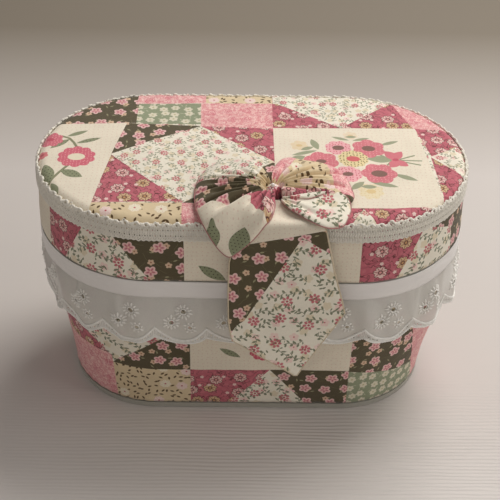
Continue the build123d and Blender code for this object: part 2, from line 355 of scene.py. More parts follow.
def print_white_floral(g, u, v, strong=1.0):
    col = srgb(239, 232, 215)
    ink = tuple(b + (a - b) * strong for a, b in zip(srgb(126, 131, 106), srgb(222, 218, 196)))
    # tan and pale pink blossoms lie under the vines
    x, y, r = g.cells(u, v, 11.0, 0.7, 5)
    f, rr, th, c = g.petals(x, y, 3.5, 5, 0.30, r[0] * 6.283)
    tint = g.mix(g.gt(r[1], 0.5), srgb(224, 209, 178), srgb(237, 205, 196))
    col = g.mix(g.soft(f, 0.3) * 0.75, col, tint)
    col = g.mix(g.soft(0.6 - rr, 0.12) * g.gt(r[1], 0.5), col, srgb(196, 104, 112))
    col = vine(g, u, v, col, 12.4, 2, ink, half=6.6, seg=4.2)
    col = leaf_marks(g, u, v, col, 6.4, 3, 1.5, 0.6, ink, keep=0.5)
    # rose blossoms made of round dots
    x, y, r = g.cells(u, v, 19.5, 0.5, 9)
    rr = g.sqrt(x * x + y * y)
    th = g.math("MODULO", g.math("ARCTAN2", y, x) + r[0] * 6.283 + 20 * pi, 2 * pi / 7) - pi / 7
    px, py = rr * g.cos(th) - 2.8, rr * g.sin(th)
    f = g.oval(px, py, 1.3, 1.0)
    col = g.mix(g.soft(f, 0.18) * 0.9, col, srgb(196, 100, 110))
    return g.mix(g.soft(0.9 - rr, 0.2), col, srgb(178, 86, 96))


def print_rose(g, u, v):
    col = srgb(192, 104, 116)
    dark = srgb(112, 60, 62)
    n = g.noise(g.vec(u, v, 12.0), 0.17, 1.0)
    scroll = g.soft(0.014 - g.abs(n - 0.5), 0.006)
    col = g.mix(g.soft(g.noise(g.vec(u, v), 0.25, 2.0) - 0.55, 0.05) * 0.35, col, srgb(214, 134, 140))
    col = g.mix(scroll, col, dark)
    x, y, r = g.cells(u, v, 7.0, 0.8, 4)                      # outlined small leaves
    x, y = g.turn(x, y, r[0] * 12.566)
    w = (1.0 - x * x * (1 / 2.2 ** 2)) * 0.95 - g.abs(y)
    col = g.mix(g.soft(0.17 - g.abs(w), 0.09) * g.gt(r[1], 0.3), col, dark)
    col = g.mix(g.soft(0.12 - g.abs(y), 0.08) * g.gt(r[1], 0.3) * g.gt(2.6 - g.abs(x), 0.0), col, dark)
    x, y, r = g.cells(u, v, 15.6, 0.5, 6)
    f, rr, th, c = g.petals(x, y, 4.9, 7, 0.32, r[0] * 6.283)
    tone = g.gt(r[1], 0.66)
    petal = g.mix(tone, srgb(238, 214, 202), srgb(222, 198, 158))
    col = g.mix(g.soft(f + 0.5, 0.12), col, dark)
    col = g.mix(g.soft(f, 0.12), col, petal)
    col = g.mix(g.soft(f - 0.95, 0.3) * 0.6, col, g.mix(tone, srgb(208, 136, 138), srgb(190, 150, 110)))
    vein = g.soft(0.16 - g.abs(g.sin(th * 3.5)) * 0.55, 0.06) * g.gt(rr, 1.5)
    col = g.mix(vein * 0.8 * g.soft(f, 0.1), col, srgb(150, 84, 84))
    col = g.mix(g.soft(1.75 - rr, 0.12), col, srgb(98, 64, 56))
    col = g.mix(g.soft(1.0 - rr, 0.12), col, g.mix(tone, srgb(222, 160, 156), srgb(196, 150, 106)))
    x, y, r = g.cells(u, v, 9.5, 0.7, 17)                     # tiny blossoms between
    f, rr, th, c = g.petals(x, y, 1.5, 5, 0.3, r[0] * 6.283)
    return g.mix(g.soft(f, 0.12) * g.gt(r[1], 0.55), col, srgb(236, 206, 198))


def print_brown(g, u, v):
    col = srgb(92, 83, 62)
    x, y, r = g.cells(u, v, 7.0, 0.8, 12)                     # pale buds
    x, y = g.turn(x, y, r[0] * 12.566)
    f = (1.0 - x * x * 0.42) * 0.55 - g.abs(y)
    col = g.mix(g.soft(f, 0.12) * g.gt(r[1], 0.55), col, srgb(168, 164, 130))
    f = 0.15 - g.abs(y + g.sin(x * 0.8) * 0.4)
    col = g.mix(g.soft(f, 0.1) * g.gt(3.2 - g.abs(x), 0.0) * 0.7, col, srgb(122, 116, 84))
    x, y, r = g.cells(u, v, 12.5, 0.6, 15)                    # small peach blossoms
    f, rr, th, c = g.petals(x, y, 2.5, 5, 0.34, r[0] * 6.283)
    col = g.mix(g.soft(f, 0.12) * g.gt(r[1], 0.2), col, srgb(216, 186, 158))
    col = g.mix(g.soft(0.6 - rr, 0.12) * g.gt(r[1], 0.2), col, srgb(160, 108, 80))
    x, y, r = g.cells(u, v, 15.4, 0.42, 11)                   # pink blossoms
    f, rr, th, c = g.petals(x, y, 4.7, 5, 0.36, r[0] * 6.283)
    col = g.mix(g.soft(f, 0.12), col, srgb(236, 198, 192))
    inner = g.petals(x, y, 3.3, 5, 0.72, r[0] * 6.283)[0]
    col = g.mix(g.soft(inner, 0.8) * g.soft(f, 0.12) * 0.8, col, srgb(206, 116, 130))
    ray = g.soft(0.10 - g.abs(g.sin(th * 2.5)) * 0.4, 0.06) * g.lt(rr, 3.0)
    col = g.mix(ray * g.soft(f, 0.12) * 0.6, col, srgb(150, 62, 78))
    return g.mix(g.soft(0.8 - rr, 0.15), col, srgb(236, 196, 180))


def print_sage(g, u, v):
    col = srgb(146, 153, 125)
    col = leaf_marks(g, u, v, col, 4.2, 22, 1.7, 0.4, srgb(186, 188, 160), keep=0.5)
    x, y, r = g.cells(u, v, 8.8, 0.45, 21)
    f, rr, th, c = g.petals(x, y, 3.4, 6, 0.3, r[0] * 6.283)
    col = g.mix(g.soft(f, 0.25) * 0.9, col, srgb(226, 218, 196))
    return g.mix(g.soft(0.8 - rr, 0.2), col, srgb(190, 182, 142))


def print_pink(g, u, v):
    p = g.vec(u, v)
    n1 = g.noise(p, 0.33, 2.5, 0.6)
    n2 = g.noise(g.vec(u, v, 30.0), 0.55, 2.0, 0.6)
    col = g.mix(g.soft(n1 - 0.50, 0.05), srgb(231, 168, 166), srgb(244, 204, 197))
    line = g.soft(0.022 - g.abs(n2 - 0.5), 0.014)
    col = g.mix(line, col, srgb(205, 106, 124))
    x, y, r = g.cells(u, v, 15.0, 0.6, 27)
    rr = g.sqrt(x * x + y * y)
    ring = g.soft(0.35 - g.abs(g.math("MODULO", rr + g.sin(g.math("ARCTAN2", y, x) * 5.0) * 0.35 + 10.0, 1.7) - 0.85), 0.12)
    return g.mix(ring * g.lt(rr, 4.2) * 0.7, col, srgb(206, 104, 122))


def print_beige(g, u, v):
    col = srgb(222, 202, 166)
    x, y, r = g.cells(u, v, 16.0, 0.5, 33)
    f, rr, th, c = g.petals(x, y, 4.4, 7, 0.22, r[0] * 6.283)
    keep = g.gt(r[2], 0.35)
    col = g.mix(g.soft(f, 0.15) * keep, col, g.mix(g.gt(r[1], 0.45), srgb(238, 214, 206), srgb(238, 228, 204)))
    vein = g.soft(0.12 - g.abs(g.sin(th * 3.5)) * 0.5, 0.08) * g.soft(f, 0.1) * keep
    col = g.mix(vein * 0.35, col, srgb(214, 168, 160))
    col = g.mix(g.soft(0.7 - rr, 0.1) * keep, col, srgb(184, 84, 96))
    x, y, q = g.cells(u, v, 4.5, 0.85, 31)                    # dark seeds between the blossoms
    x, y = g.turn(x, y, q[0] * 12.566)
    w = (1.0 - x * x * (1 / 1.75 ** 2)) * 0.8 - g.abs(y)
    clear = 1.0 - g.soft(f + 0.8, 0.3) * keep
    return g.mix(g.soft(w, 0.12) * g.gt(q[1], 0.22) * clear, col, srgb(96, 74, 48))


def dotted_leaf(g, u, v, col, x1, y1, x2, y2, w, dots=True, fill=GREEN):
    f, p, q = g.leaf(u, v, x1, y1, x2, y2, w)
    m = g.soft(f, 0.12)
    col = g.mix(m, col, fill)
    if dots:
        a = g.math("MODULO", p + 60.0, 2.6) - 1.3
        row = g.math("FLOOR", (p + 60.0) / 2.6)
        b = g.math("MODULO", q + 60.0 + row * 1.3, 2.6) - 1.3
        col = g.mix(m * g.soft(0.42 - g.sqrt(a * a + b * b), 0.1), col, srgb(72, 62, 48))
    return col


def blossom(g, u, v, col, cx, cy, r, n, fill, heart, heart_r, depth=0.22, dots=None, phase=0.3, stretch=1.0, specks=None):
    x, y = (u - cx) * (1 / stretch), v - cy
    f, rr, th, c = g.petals(x, y, r, n, depth, phase)
    m = g.soft(f, 0.14)
    col = g.mix(m, col, fill)
    if dots is not None:
        dx, dy, rn = g.cells(u, v, 2.3, 0.45, 41)
        col = g.mix(m * g.soft(0.5 - g.sqrt(dx * dx + dy * dy), 0.12), col, dots)
    else:
        vein = g.soft(0.06 - g.abs(g.sin(th * (n / 2))) * 0.5, 0.05) * m * g.gt(rr, heart_r)
        col = g.mix(vein * 0.3, col, srgb(236, 176, 176))
    if specks is not None:
        dx, dy, rn = g.cells(u, v, 2.5, 0.3, 43)
        col = g.mix(m * g.soft(0.36 - g.sqrt(dx * dx + dy * dy), 0.14) * 0.9, col, specks)
    hx = x * 0.72
    return g.mix(g.soft(heart_r - g.sqrt(hx * hx + y * y), 0.14), col, heart)


BL_LEAVES = [(-141.2, 2.1, -128.5, 14.2, 5.0), (-131.0, 17.5, -116.9, 25.2, 4.4), (-123.7, 8.4, -106.8, 15.4, 4.4),
             (-131.1, -25.5, -115.3, -34.3, 8.0), (-137.1, -38.8, -142.5, -18.3, 10.0), (-136.1, -40.2, -130.3, -50.7, 5.5)]
BQ_LEAVES = [(56.1, 20.3, 68.6, 16.0, 3.2), (70.7, 15.4, 83.1, 19.7, 3.2), (90.1, 10.6, 103.4, 16.2, 3.8),
             (41.6, 16.9, 46.0, 3.2, 5.4), (33.7, 2.9, 42.8, 6.4, 4.0), (27.1, -4.0, 45.1, 2.0, 4.0),
             (25.8, -10.2, 36.4, -5.4, 6.5), (96.4, -25.6, 112.0, -33.0, 4.8), (65.5, -46.1, 75.0, -36.5, 5.2),
             (72.4, -42.5, 83.2, -42.3, 4.4), (79.0, -36.4, 97.9, -41.8, 4.8), (79.1, -7.8, 98.8, -7.4, 8.4),
             (65.8, 20.6, 74.2, 20.8, 3.0)]


def print_left_block(g, u, v):
    """Cream block with one large scalloped blossom, its stem, leaves and bud."""
    col = print_cream(g, u, v)
    for pts, w in (([(-122.9, 3.8), (-125.4, 9.5), (-129.0, 15.0), (-134.6, 18.1)], 1.9),
                   ([(-125.4, -18.2), (-131.5, -28.0), (-137.9, -40.0)], 2.0)):
        col = g.mix(g.soft(g.stroke(u, v, pts, w), 0.12), col, srgb(140, 140, 110))
    for i, l in enumerate(BL_LEAVES):
        col = dotted_leaf(g, u, v, col, *l, dots=i in (0, 2, 3, 4))
    col = blossom(g, u, v, col, -142.5, 13.5, 9.6, 8, srgb(210, 112, 126), srgb(198, 88, 106), 2.0, depth=0.16,
                  dots=srgb(232, 158, 160))
    col = blossom(g, u, v, col, -146.0, -6.0, 4.6, 6, srgb(216, 124, 128), srgb(190, 92, 100), 1.2)
    return blossom(g, u, v, col, -121.8, -9.0, 13.4, 10, srgb(213, 108, 124), srgb(236, 226, 200), 4.3,
                   depth=0.13, dots=srgb(232, 158, 160))


def print_bouquet(g, u, v):
    """Cream block with a tied bouquet."""
    col = print_cream(g, u, v)
    col = blossom(g, u, v, col, 32.8, 8.4, 6.4, 6, srgb(232, 214, 180), srgb(222, 196, 150), 1.6)
    col = blossom(g, u, v, col, 69.8, 22.6, 5.4, 6, srgb(234, 218, 190), srgb(224, 200, 158), 1.4)
    col = blossom(g, u, v, col, 78.8, -47.6, 9.0, 8, srgb(234, 220, 186), srgb(224, 200, 150), 2.4, dots=srgb(226, 206, 160))
    col = blossom(g, u, v, col, 34.8, -10.2, 5.2, 6, srgb(240, 232, 208), srgb(226, 206, 164), 1.4)
    for pts in ([(102.4, -7.3), (112.6, -2.4)], [(102.3, -8.6), (117.0, -8.9)], [(102.1, -9.8), (115.6, -14.2)],
                [(96.7, -8.7), (90.6, -18.3)], [(96.8, -7.4), (87.0, -0.8)]):
        col = g.mix(g.soft(g.stroke(u, v, pts, 1.3), 0.12), col, srgb(146, 152, 122))
    for l in BQ_LEAVES:
        col = dotted_leaf(g, u, v, col, *l, dots=False, fill=srgb(160, 164, 136))
    rose_c, heart = srgb(214, 124, 133), srgb(134, 102, 92)
    col = blossom(g, u, v, col, 60.1, 5.6, 9.4, 8, srgb(238, 178, 182), heart, 3.0, depth=0.12, dots=srgb(205, 84, 104))
    col = blossom(g, u, v, col, 64.7, -27.6, 10.0, 8, srgb(238, 178, 182), heart, 2.6, depth=0.12, dots=srgb(205, 84, 104))
    col = blossom(g, u, v, col, 47.2, -12.0, 12.4, 6, rose_c, heart, 2.6, depth=0.17, specks=srgb(240, 184, 182))
    col = blossom(g, u, v, col, 81.4, 5.8, 12.0, 6, rose_c, heart, 3.4, depth=0.17, phase=0.5, specks=srgb(240, 184, 182))
    col = blossom(g, u, v, col, 86.2, -25.7, 12.6, 6, rose_c, heart, 4.0, depth=0.17, phase=0.0, specks=srgb(240, 184, 182))
    col = blossom(g, u, v, col, 69.6, -8.3, 10.8, 10, srgb(232, 214, 166), srgb(214, 110, 112), 3.4, depth=0.1,
                  dots=srgb(112, 92, 52))
    for l in ((92.3, 3.0, 101.3, -8.6, 8.0), (104.4, 2.6, 96.4, -9.0, 7.6), (94.4, -17.6, 101.8, -7.8, 7.6),
              (107.4, -15.6, 97.9, -8.8, 6.8)):
        f, p, q = g.leaf(u, v, *l)
        col = g.mix(g.soft(f, 0.12), col, rose_c)
    return g.mix(g.soft(g.oval(u - 99.2, v + 7.9, 2.2, 1.7), 0.12), col, srgb(196, 92, 108))


def print_cream_leaves(g, u, v, leaves):
    col = print_cream(g, u, v)
    for l in leaves:
        col = dotted_leaf(g, u, v, col, *l)
    return col


def make_print(name, fn, **k):
    g = Graph(name)
    u, v = g.uv()
    cloth_finish(g, u, v, fn(g, u, v), **k)
    MATS[name] = g.mat


make_print("cotton_cream", print_cream)
make_print("cotton_white_floral", print_white_floral)
make_print("cotton_white_fine", lambda g, u, v: print_white_floral(g, u * 1.38, v * 1.38, 0.72))
make_print("cotton_rose", print_rose)
make_print("cotton_brown", print_brown)
make_print("cotton_sage", print_sage)
make_print("cotton_pink", print_pink)
make_print("cotton_beige", print_beige)
make_print("cotton_left_block", print_left_block)
make_print("cotton_bouquet", print_bouquet)
make_print("cotton_band_leaf", lambda g, u, v: print_cream_leaves(g, u, v, [(-36.0, 147.0, -17.5, 135.0, 7.5), (12.0, 150.0, 24.0, 140.0, 6.0)]))


def print_body_cream(g, u, v):
    col = print_cream_leaves(g, u, v, [(-21.5, 65.5, -6.5, 56.0, 5.5)])
    return blossom(g, u, v, col, 9.5, 63.0, 10.0, 10, srgb(200, 92, 108), srgb(236, 226, 200), 3.0, depth=0.13,
                   dots=srgb(232, 158, 160))


make_print("cotton_body_cream", print_body_cream)
make_print("cotton_bow_cream", lambda g, u, v: print_cream_leaves(
    g, u, v, [(-27.5, -87.0, -25.0, -108.0, 9.0), (-6.0, -90.0, -12.5, -117.0, 13.5)]))


def plain_cloth(name, color, **k):
    g = Graph(name)
    u, v = g.uv()
    n = g.noise(g.vec(u, v), 0.5, 3.0)
    col = g.mix(n, tuple(c * 0.93 for c in color), color)
    cloth_finish(g, u, v, col, **k)
    MATS[name] = g.mat
    return g


plain_cloth("piping_rose", srgb(186, 128, 126), thread=0.4)
plain_cloth("hem_cream", srgb(214, 198, 170), thread=0.4)


def satin(name, color):
    g = Graph(name)
    u, v = g.uv()
    slub = g.noise(g.vec(u * 0.06, v * 3.0), 1.0, 3.0)
    soft = g.noise(g.vec(u * 0.05, v * 0.12, 4.0), 1.0, 2.0)
    col = g.mix(soft, tuple(c * 0.93 for c in color), color)
    ribs = g.sin(v * (2 * pi / 0.35))
    n1 = g.bump(soft, 0.5, 0.0025)
    n2 = g.bump(ribs * 0.4 + slub, 0.25, 0.0001, n1)
    g.principled(col, g.math("MULTIPLY_ADD", slub, 0.14, 0.30), Normal=n2)
    g.bsdf.inputs["Sheen Weight"].default_value = 0.35
    g.bsdf.inputs["Sheen Roughness"].default_value = 0.3
    g.bsdf.inputs["Anisotropic"].default_value = 0.55
    g.bsdf.inputs["Specular IOR Level"].default_value = 0.5
    MATS[name] = g.mat


satin("satin", srgb(236, 232, 228))


def thread_mat(name, color, pitch=0.9):
    g = Graph(name)
    p = g.obj()
    n = g.noise(p, 420.0, 2.0)
    n2 = g.noise(p, 60.0, 2.0)
    col = g.mix(n2, tuple(c * 0.86 for c in color), color)
    col = g.mul_color(1.0, col, g.vec(*[g.math("MULTIPLY_ADD", n - 0.5, 0.3, 1.0)] * 3))
    nb = g.bump(n, 0.5, 0.0002)
    g.principled(col, 0.82, Normal=nb)
    g.bsdf.inputs["Sheen Weight"].default_value = 0.25
    g.bsdf.inputs["Specular IOR Level"].default_value = 0.3
    MATS[name] = g.mat


thread_mat("lace_thread", srgb(243, 238, 226))
thread_mat("embroidery_thread", srgb(250, 248, 242))


def batiste():
    """Sheer white batiste: threads with fine gaps between them."""
    g = Graph("batiste")
    u, v = g.uv()
    slub = g.noise(g.vec(u * 0.4, v * 3.0), 1.0, 2.0)
    slub2 = g.noise(g.vec(u * 3.0, v * 0.4, 9.0), 1.0, 2.0)
    f = (slub + slub2) * 0.5
    big = g.noise(g.vec(u, v), 0.05, 2.0)
    col = g.mix(big, srgb(224, 222, 216), srgb(240, 238, 232))
    k = 2 * pi / 0.4
    w = g.sin(u * k) * g.sin(v * k)
    n1 = g.bump(g.noise(g.vec(u, v), 0.12, 3.0), 0.3, 0.0015)
    n2 = g.bump(w * 0.5 + f, 0.35, 0.0001, n1)
    diff = g.principled(col, 0.8, Normal=n2)
    g.bsdf.inputs["Sheen Weight"].default_value = 0.2
    g.bsdf.inputs["Specular IOR Level"].default_value = 0.3
    tr = g.t.nodes.new("ShaderNodeBsdfTranslucent")
    g.link(col, tr.inputs[0])
    g.link(n1, tr.inputs["Normal"])
    mixn = g.t.nodes.new("ShaderNodeMixShader")
    mixn.inputs[0].default_value = 0.22
    g.t.links.new(g.bsdf.outputs[0], mixn.inputs[1])
    g.t.links.new(tr.outputs[0], mixn.inputs[2])
    tp = g.t.nodes.new("ShaderNodeBsdfTransparent")
    m2 = g.t.nodes.new("ShaderNodeMixShader")
    gap = g.math("MULTIPLY_ADD", f, -0.22, 0.24, clamp=True)
    g.link(gap, m2.inputs[0])
    g.t.links.new(mixn.outputs[0], m2.inputs[1])
    g.t.links.new(tp.outputs[0], m2.inputs[2])
    g.t.links.new(m2.outputs[0], g.out.inputs[0])
    MATS["batiste"] = g.mat


batiste()


def plastic(name, color, rough, scale=900.0, depth=0.00005, trans=0.0, coat=0.0, sss=0.0):
    g = Graph(name)
    p = g.obj()
    grain = g.noise(p, scale, 2.0)
    flow = g.noise(p, 22.0, 3.0)
    scuff = g.noise(g.vec(*[c * s for c, s in zip(g.split(p), (60.0, 60.0, 900.0))]), 1.0, 3.0)
    col = g.mix(flow, tuple(c * 0.93 for c in color), color)
    r = g.math("MULTIPLY_ADD", flow, 0.14, rough - 0.07) + g.soft(scuff - 0.62, 0.05) * 0.12
    g.principled(col, r, Normal=g.bump(grain, 0.25, depth))
    g.bsdf.inputs["Transmission Weight"].default_value = trans
    g.bsdf.inputs["Coat Weight"].default_value = coat
    g.bsdf.inputs["IOR"].default_value = 1.46
    if sss:
        g.bsdf.inputs["Subsurface Weight"].default_value = sss
        g.bsdf.inputs["Subsurface Radius"].default_value = (0.006, 0.006, 0.005)
        g.bsdf.inputs["Subsurface Scale"].default_value = 0.5
    MATS[name] = g.mat


plastic("tub_milky", srgb(226, 223, 210), 0.34, trans=0.45)
plastic("lid_milky", srgb(228, 225, 214), 0.42)
plastic("tray_cream", srgb(234, 229, 212), 0.30, coat=0.15)
g = Graph("pearl")
p = g.obj()
n = g.noise(p, 300.0, 3.0)
g.principled(g.mix(n, srgb(224, 214, 204), srgb(246, 238, 232)), 0.18, Normal=g.bump(n, 0.1, 0.0001))
g.bsdf.inputs["Coat Weight"].default_value = 0.8
g.bsdf.inputs["Sheen Weight"].default_value = 0.4
MATS["pearl"] = g.mat


# --------------------------------------------------------------- mesh helpers
def perimeter(R):
    return 4 * HS + 2 * pi * R


def ring_xy(s, R, Rm):
    """Plan position and outward normal at arc length s, measured at end radius Rm, on the stadium of end
    radius R.  s is 0 at the front centre and grows towards +X."""
    s = np.asarray(s, float)
    P = perimeter(Rm)
    s = np.mod(s + P / 2, P) - P / 2
    a, sg = np.abs(s), np.where(s < 0, -1.0, 1.0)
    front, back = a <= HS, a >= HS + pi * Rm
    th = (a - HS) / Rm - pi / 2
    x = np.where(front, a, np.where(back, HS - (a - HS - pi * Rm), HS + R * np.cos(th)))
    y = np.where(front, -R, np.where(back, R, R * np.sin(th)))
    nx = np.where(front | back, 0.0, np.cos(th))
    ny = np.where(front, -1.0, np.where(back, 1.0, np.sin(th)))
    return sg * x, y, sg * nx, ny


def wob(u, v, seed, scale, n=5):
    """Smooth repeatable unevenness, about -1 to 1."""
    rng = np.random.default_rng(seed)
    out = np.zeros(np.broadcast(u, v).shape)
    for _ in range(n):
        a = rng.uniform(0, 2 * pi)
        k = 2 * pi / (scale * rng.uniform(0.6, 1.8))
        out = out + np.sin((u * math.cos(a) + v * math.sin(a)) * k + rng.uniform(0, 2 * pi))
    return out / n * 1.4


def bm_grid(us, vs):
    bm = bmesh.new()
    rows = [[bm.verts.new((u, v, 0)) for u in us] for v in vs]
    for a, b in zip(rows, rows[1:]):
        for i in range(len(us) - 1):
            bm.faces.new((a[i], a[i + 1], b[i + 1], b[i]))
    return bm


def cut(bm, poly, ax=(0, 1)):
    """Cuts the faces near a polygon along its edges, so that it has clean borders."""
    poly = np.asarray(poly, float)
    lo, hi = poly.min(0) - 1e-3, poly.max(0) + 1e-3
    i, j = ax

    reach = 6.0

    def near(f):
        c = f.calc_center_median_weighted() if len(f.verts) > 8 else f.verts[0].co
        return lo[0] - reach <= c[i] <= hi[0] + reach and lo[1] - reach <= c[j] <= hi[1] + reach
    faces = [f for f in bm.faces if near(f)]
    for p, q in zip(poly, np.roll(poly, -1, axis=0)):
        d = q - p
        if np.hypot(*d) < 1e-6:
            continue
        no, co = [0, 0, 0], [0, 0, 0]
        no[i], no[j] = -d[1], d[0]
        co[i], co[j] = p
        elo, ehi = np.minimum(p, q) - 1e-4, np.maximum(p, q) + 1e-4
        part = []
        for f in faces:
            a = [v.co[i] for v in f.verts]
            b = [v.co[j] for v in f.verts]
            if max(a) >= elo[0] and min(a) <= ehi[0] and max(b) >= elo[1] and min(b) <= ehi[1]:
                part.append(f)
        if not part:
            continue
        keep = set(faces) - set(part)
        geom = list({v for f in part for v in f.verts}) + list({e for f in part for e in f.edges}) + part
        r = bmesh.ops.bisect_plane(bm, geom=geom, dist=1e-4, plane_co=co, plane_no=no)
        faces = list(keep) + [f for f in r["geom"] if isinstance(f, bmesh.types.BMFace)]


def inside(pts, poly):
    x, y = pts[:, 0], pts[:, 1]
    hit = np.zeros(len(pts), bool)
    for (x1, y1), (x2, y2) in zip(poly, list(poly[1:]) + [poly[0]]):
        c = (y1 > y) != (y2 > y)
        hit ^= c & (x < (x2 - x1) * (y - y1) / ((y2 - y1) + 1e-12) + x1)
    return hit


def paint(bm, patches, base, ax=(0, 1), do_cut=True):
    """Gives each face the material of the last patch that holds it. Returns the material names in slot order."""
    names = [base]
    if do_cut:
        for poly, _ in patches:
            cut(bm, poly, ax)
    bm.faces.ensure_lookup_table()
    c = np.array([f.calc_center_median()[:] for f in bm.faces])[:, list(ax)]
    idx = np.zeros(len(c), int)
    for poly, name in patches:
        if name not in names:
            names.append(name)
        idx[inside(c, [tuple(p) for p in poly])] = names.index(name)
    for f, k in zip(bm.faces, idx):
        f.material_index = int(k)
    return names


def set_uv(bm, fn=None):
    """fn turns an (n, 3) array of millimetres into (n, 2); by default the first two numbers."""
    layer = bm.loops.layers.uv.get("cloth") or bm.loops.layers.uv.new("cloth")
    co = np.array([l.vert.co[:] for f in bm.faces for l in f.loops])
    uv = (co[:, :2] if fn is None else fn(co)) * 0.001
    k = 0
    for f in bm.faces:
        for l in f.loops:
            l[layer].uv = uv[k]
            k += 1


def move(bm, fn):
    bm.verts.ensure_lookup_table()
    co = np.array([v.co[:] for v in bm.verts])
    new = fn(co)
    for v, p in zip(bm.verts, new):
        v.co = p


def piece(bm, name, mats, merge=None, thick=None, offset=1.0, smooth=True, flip=False):
    """Finishes a bmesh in millimetres as an object in metres."""
    if merge:
        bmesh.ops.remove_doubles(bm, verts=bm.verts, dist=merge)
    for v in bm.verts:
        v.co = v.co * 0.001
    if flip:
        bmesh.ops.reverse_faces(bm, faces=bm.faces)
    for f in bm.faces:
        f.smooth = smooth
    me = bpy.data.meshes.new(name)
    bm.to_mesh(me)
    bm.free()
    for m in mats:
        me.materials.append(MATS[m])
    o = bpy.data.objects.new(name, me)
    bpy.context.scene.collection.objects.link(o)
    if thick:
        s = o.modifiers.new("thickness", "SOLIDIFY")
        s.thickness = thick * 0.001
        s.offset = offset
        s.use_even_offset = False
    return o


def tube(points, radius, sides=6, closed=False, name="tube", mat="lace_thread", taper=None):
    """Round thread along points (n, 3) in millimetres."""
    P = np.asarray(points, float)
    n = len(P)
    T = np.roll(P, -1, 0) - np.roll(P, 1, 0)
    if not closed:
        T[0], T[-1] = P[1] - P[0], P[-1] - P[-2]
    T /= np.maximum(np.linalg.norm(T, axis=1), 1e-9)[:, None]
    ref = np.tile((0.0, 0.0, 1.0), (n, 1))
    bad = np.abs(T[:, 2]) > 0.95
    ref[bad] = (0.0, 1.0, 0.0)
    A = np.cross(T, ref)
    A /= np.maximum(np.linalg.norm(A, axis=1), 1e-9)[:, None]
    B = np.cross(T, A)
    r = np.broadcast_to(np.asarray(radius, float), (n,))
    ang = np.linspace(0, 2 * pi, sides, endpoint=False)
    V = P[:, None] + r[:, None, None] * (np.cos(ang)[None, :, None] * A[:, None] + np.sin(ang)[None, :, None] * B[:, None])
    verts = V.reshape(-1, 3)
    faces = []
    m = n if closed else n - 1
    for i in range(m):
        j = (i + 1) % n
        for k in range(sides):
            l = (k + 1) % sides
            faces.append((i * sides + k, j * sides + k, j * sides + l, i * sides + l))
    if not closed:
        faces.append(tuple(range(sides)))
        faces.append(tuple((n - 1) * sides + k for k in reversed(range(sides))))
    return verts, faces


def join_parts(name, parts, mats):
    """One object from several (verts, faces, material index) in millimetres."""
    V, F, M = [], [], []
    base = 0
    for verts, faces, mi in parts:
        V.append(np.asarray(verts))
        F += [tuple(i + base for i in f) for f in faces]
        M += [mi] * len(faces)
        base += len(verts)
    me = bpy.data.meshes.new(name)
    me.from_pydata((np.vstack(V) * 0.001).tolist(), [], F)
    for m in mats:
        me.materials.append(MATS[m])
    me.polygons.foreach_set("material_index", M)
    me.polygons.foreach_set("use_smooth", [True] * len(F))
    me.update()
    bm = bmesh.new()
    bm.from_mesh(me)
    bmesh.ops.recalc_face_normals(bm, faces=bm.faces)
    bm.to_mesh(me)
    bm.free()
    o = bpy.data.objects.new(name, me)
    bpy.context.scene.collection.objects.link(o)
    return o


# -------------------------------------------------------------- camera, light
def look(az, el, dist, target, lens, roll):
    back = Vector((math.sin(az) * math.cos(el), -math.cos(az) * math.cos(el), math.sin(el)))
    eye = Vector(target) + back * dist
    right = (-back).cross(Vector((0, 0, 1))).normalized()
    up = right.cross(-back)
    r2 = right * math.cos(roll) + up * math.sin(roll)
    u2 = -right * math.sin(roll) + up * math.cos(roll)
    d = bpy.data.cameras.new("camera")
    d.lens, d.sensor_width, d.clip_start, d.clip_end = lens, 36.0, 0.02, 50
    c = bpy.data.objects.new("camera", d)
    m = Matrix((r2, u2, back)).transposed().to_4x4()
    m.translation = eye
    c.matrix_world = m
    bpy.context.scene.collection.objects.link(c)
    bpy.context.scene.camera = c
    return c


look(-0.025, 0.646, 0.92279, (0, 0, 0.09764), 1248.85 / 500 * 36.0, 0.027)


def area(name, loc, target, size, power, color):
    d = bpy.data.lights.new(name, "AREA")
    d.shape, d.size, d.size_y, d.energy, d.color = "RECTANGLE", size[0], size[1], power, color
    o = bpy.data.objects.new(name, d)
    o.location = loc
    o.rotation_euler = (Vector(target) - Vector(loc)).to_track_quat("-Z", "Y").to_euler()
    bpy.context.scene.collection.objects.link(o)


area("key_top", (0.55, 0.62, 1.30), (0, 0, 0.12), (0.9, 0.8), 17.6, (1.0, 0.97, 0.935))
area("fill_front", (-0.5, -1.6, 1.1), (0, 0, 0.1), (1.6, 1.2), 3.0, (1.0, 0.97, 0.95))
area("fill_right", (1.35, -0.45, 0.75), (0, 0, 0.1), (0.8, 0.8), 5.2, (1.0, 0.975, 0.95))
world = bpy.data.worlds.new("studio")
world.use_nodes = True
world.node_tree.nodes["Background"].inputs[0].default_value = (*srgb(206, 199, 193), 1)
world.node_tree.nodes["Background"].inputs[1].default_value = 0.36
bpy.context.scene.world = world
bpy.context.scene.view_settings.view_transform = "Standard"

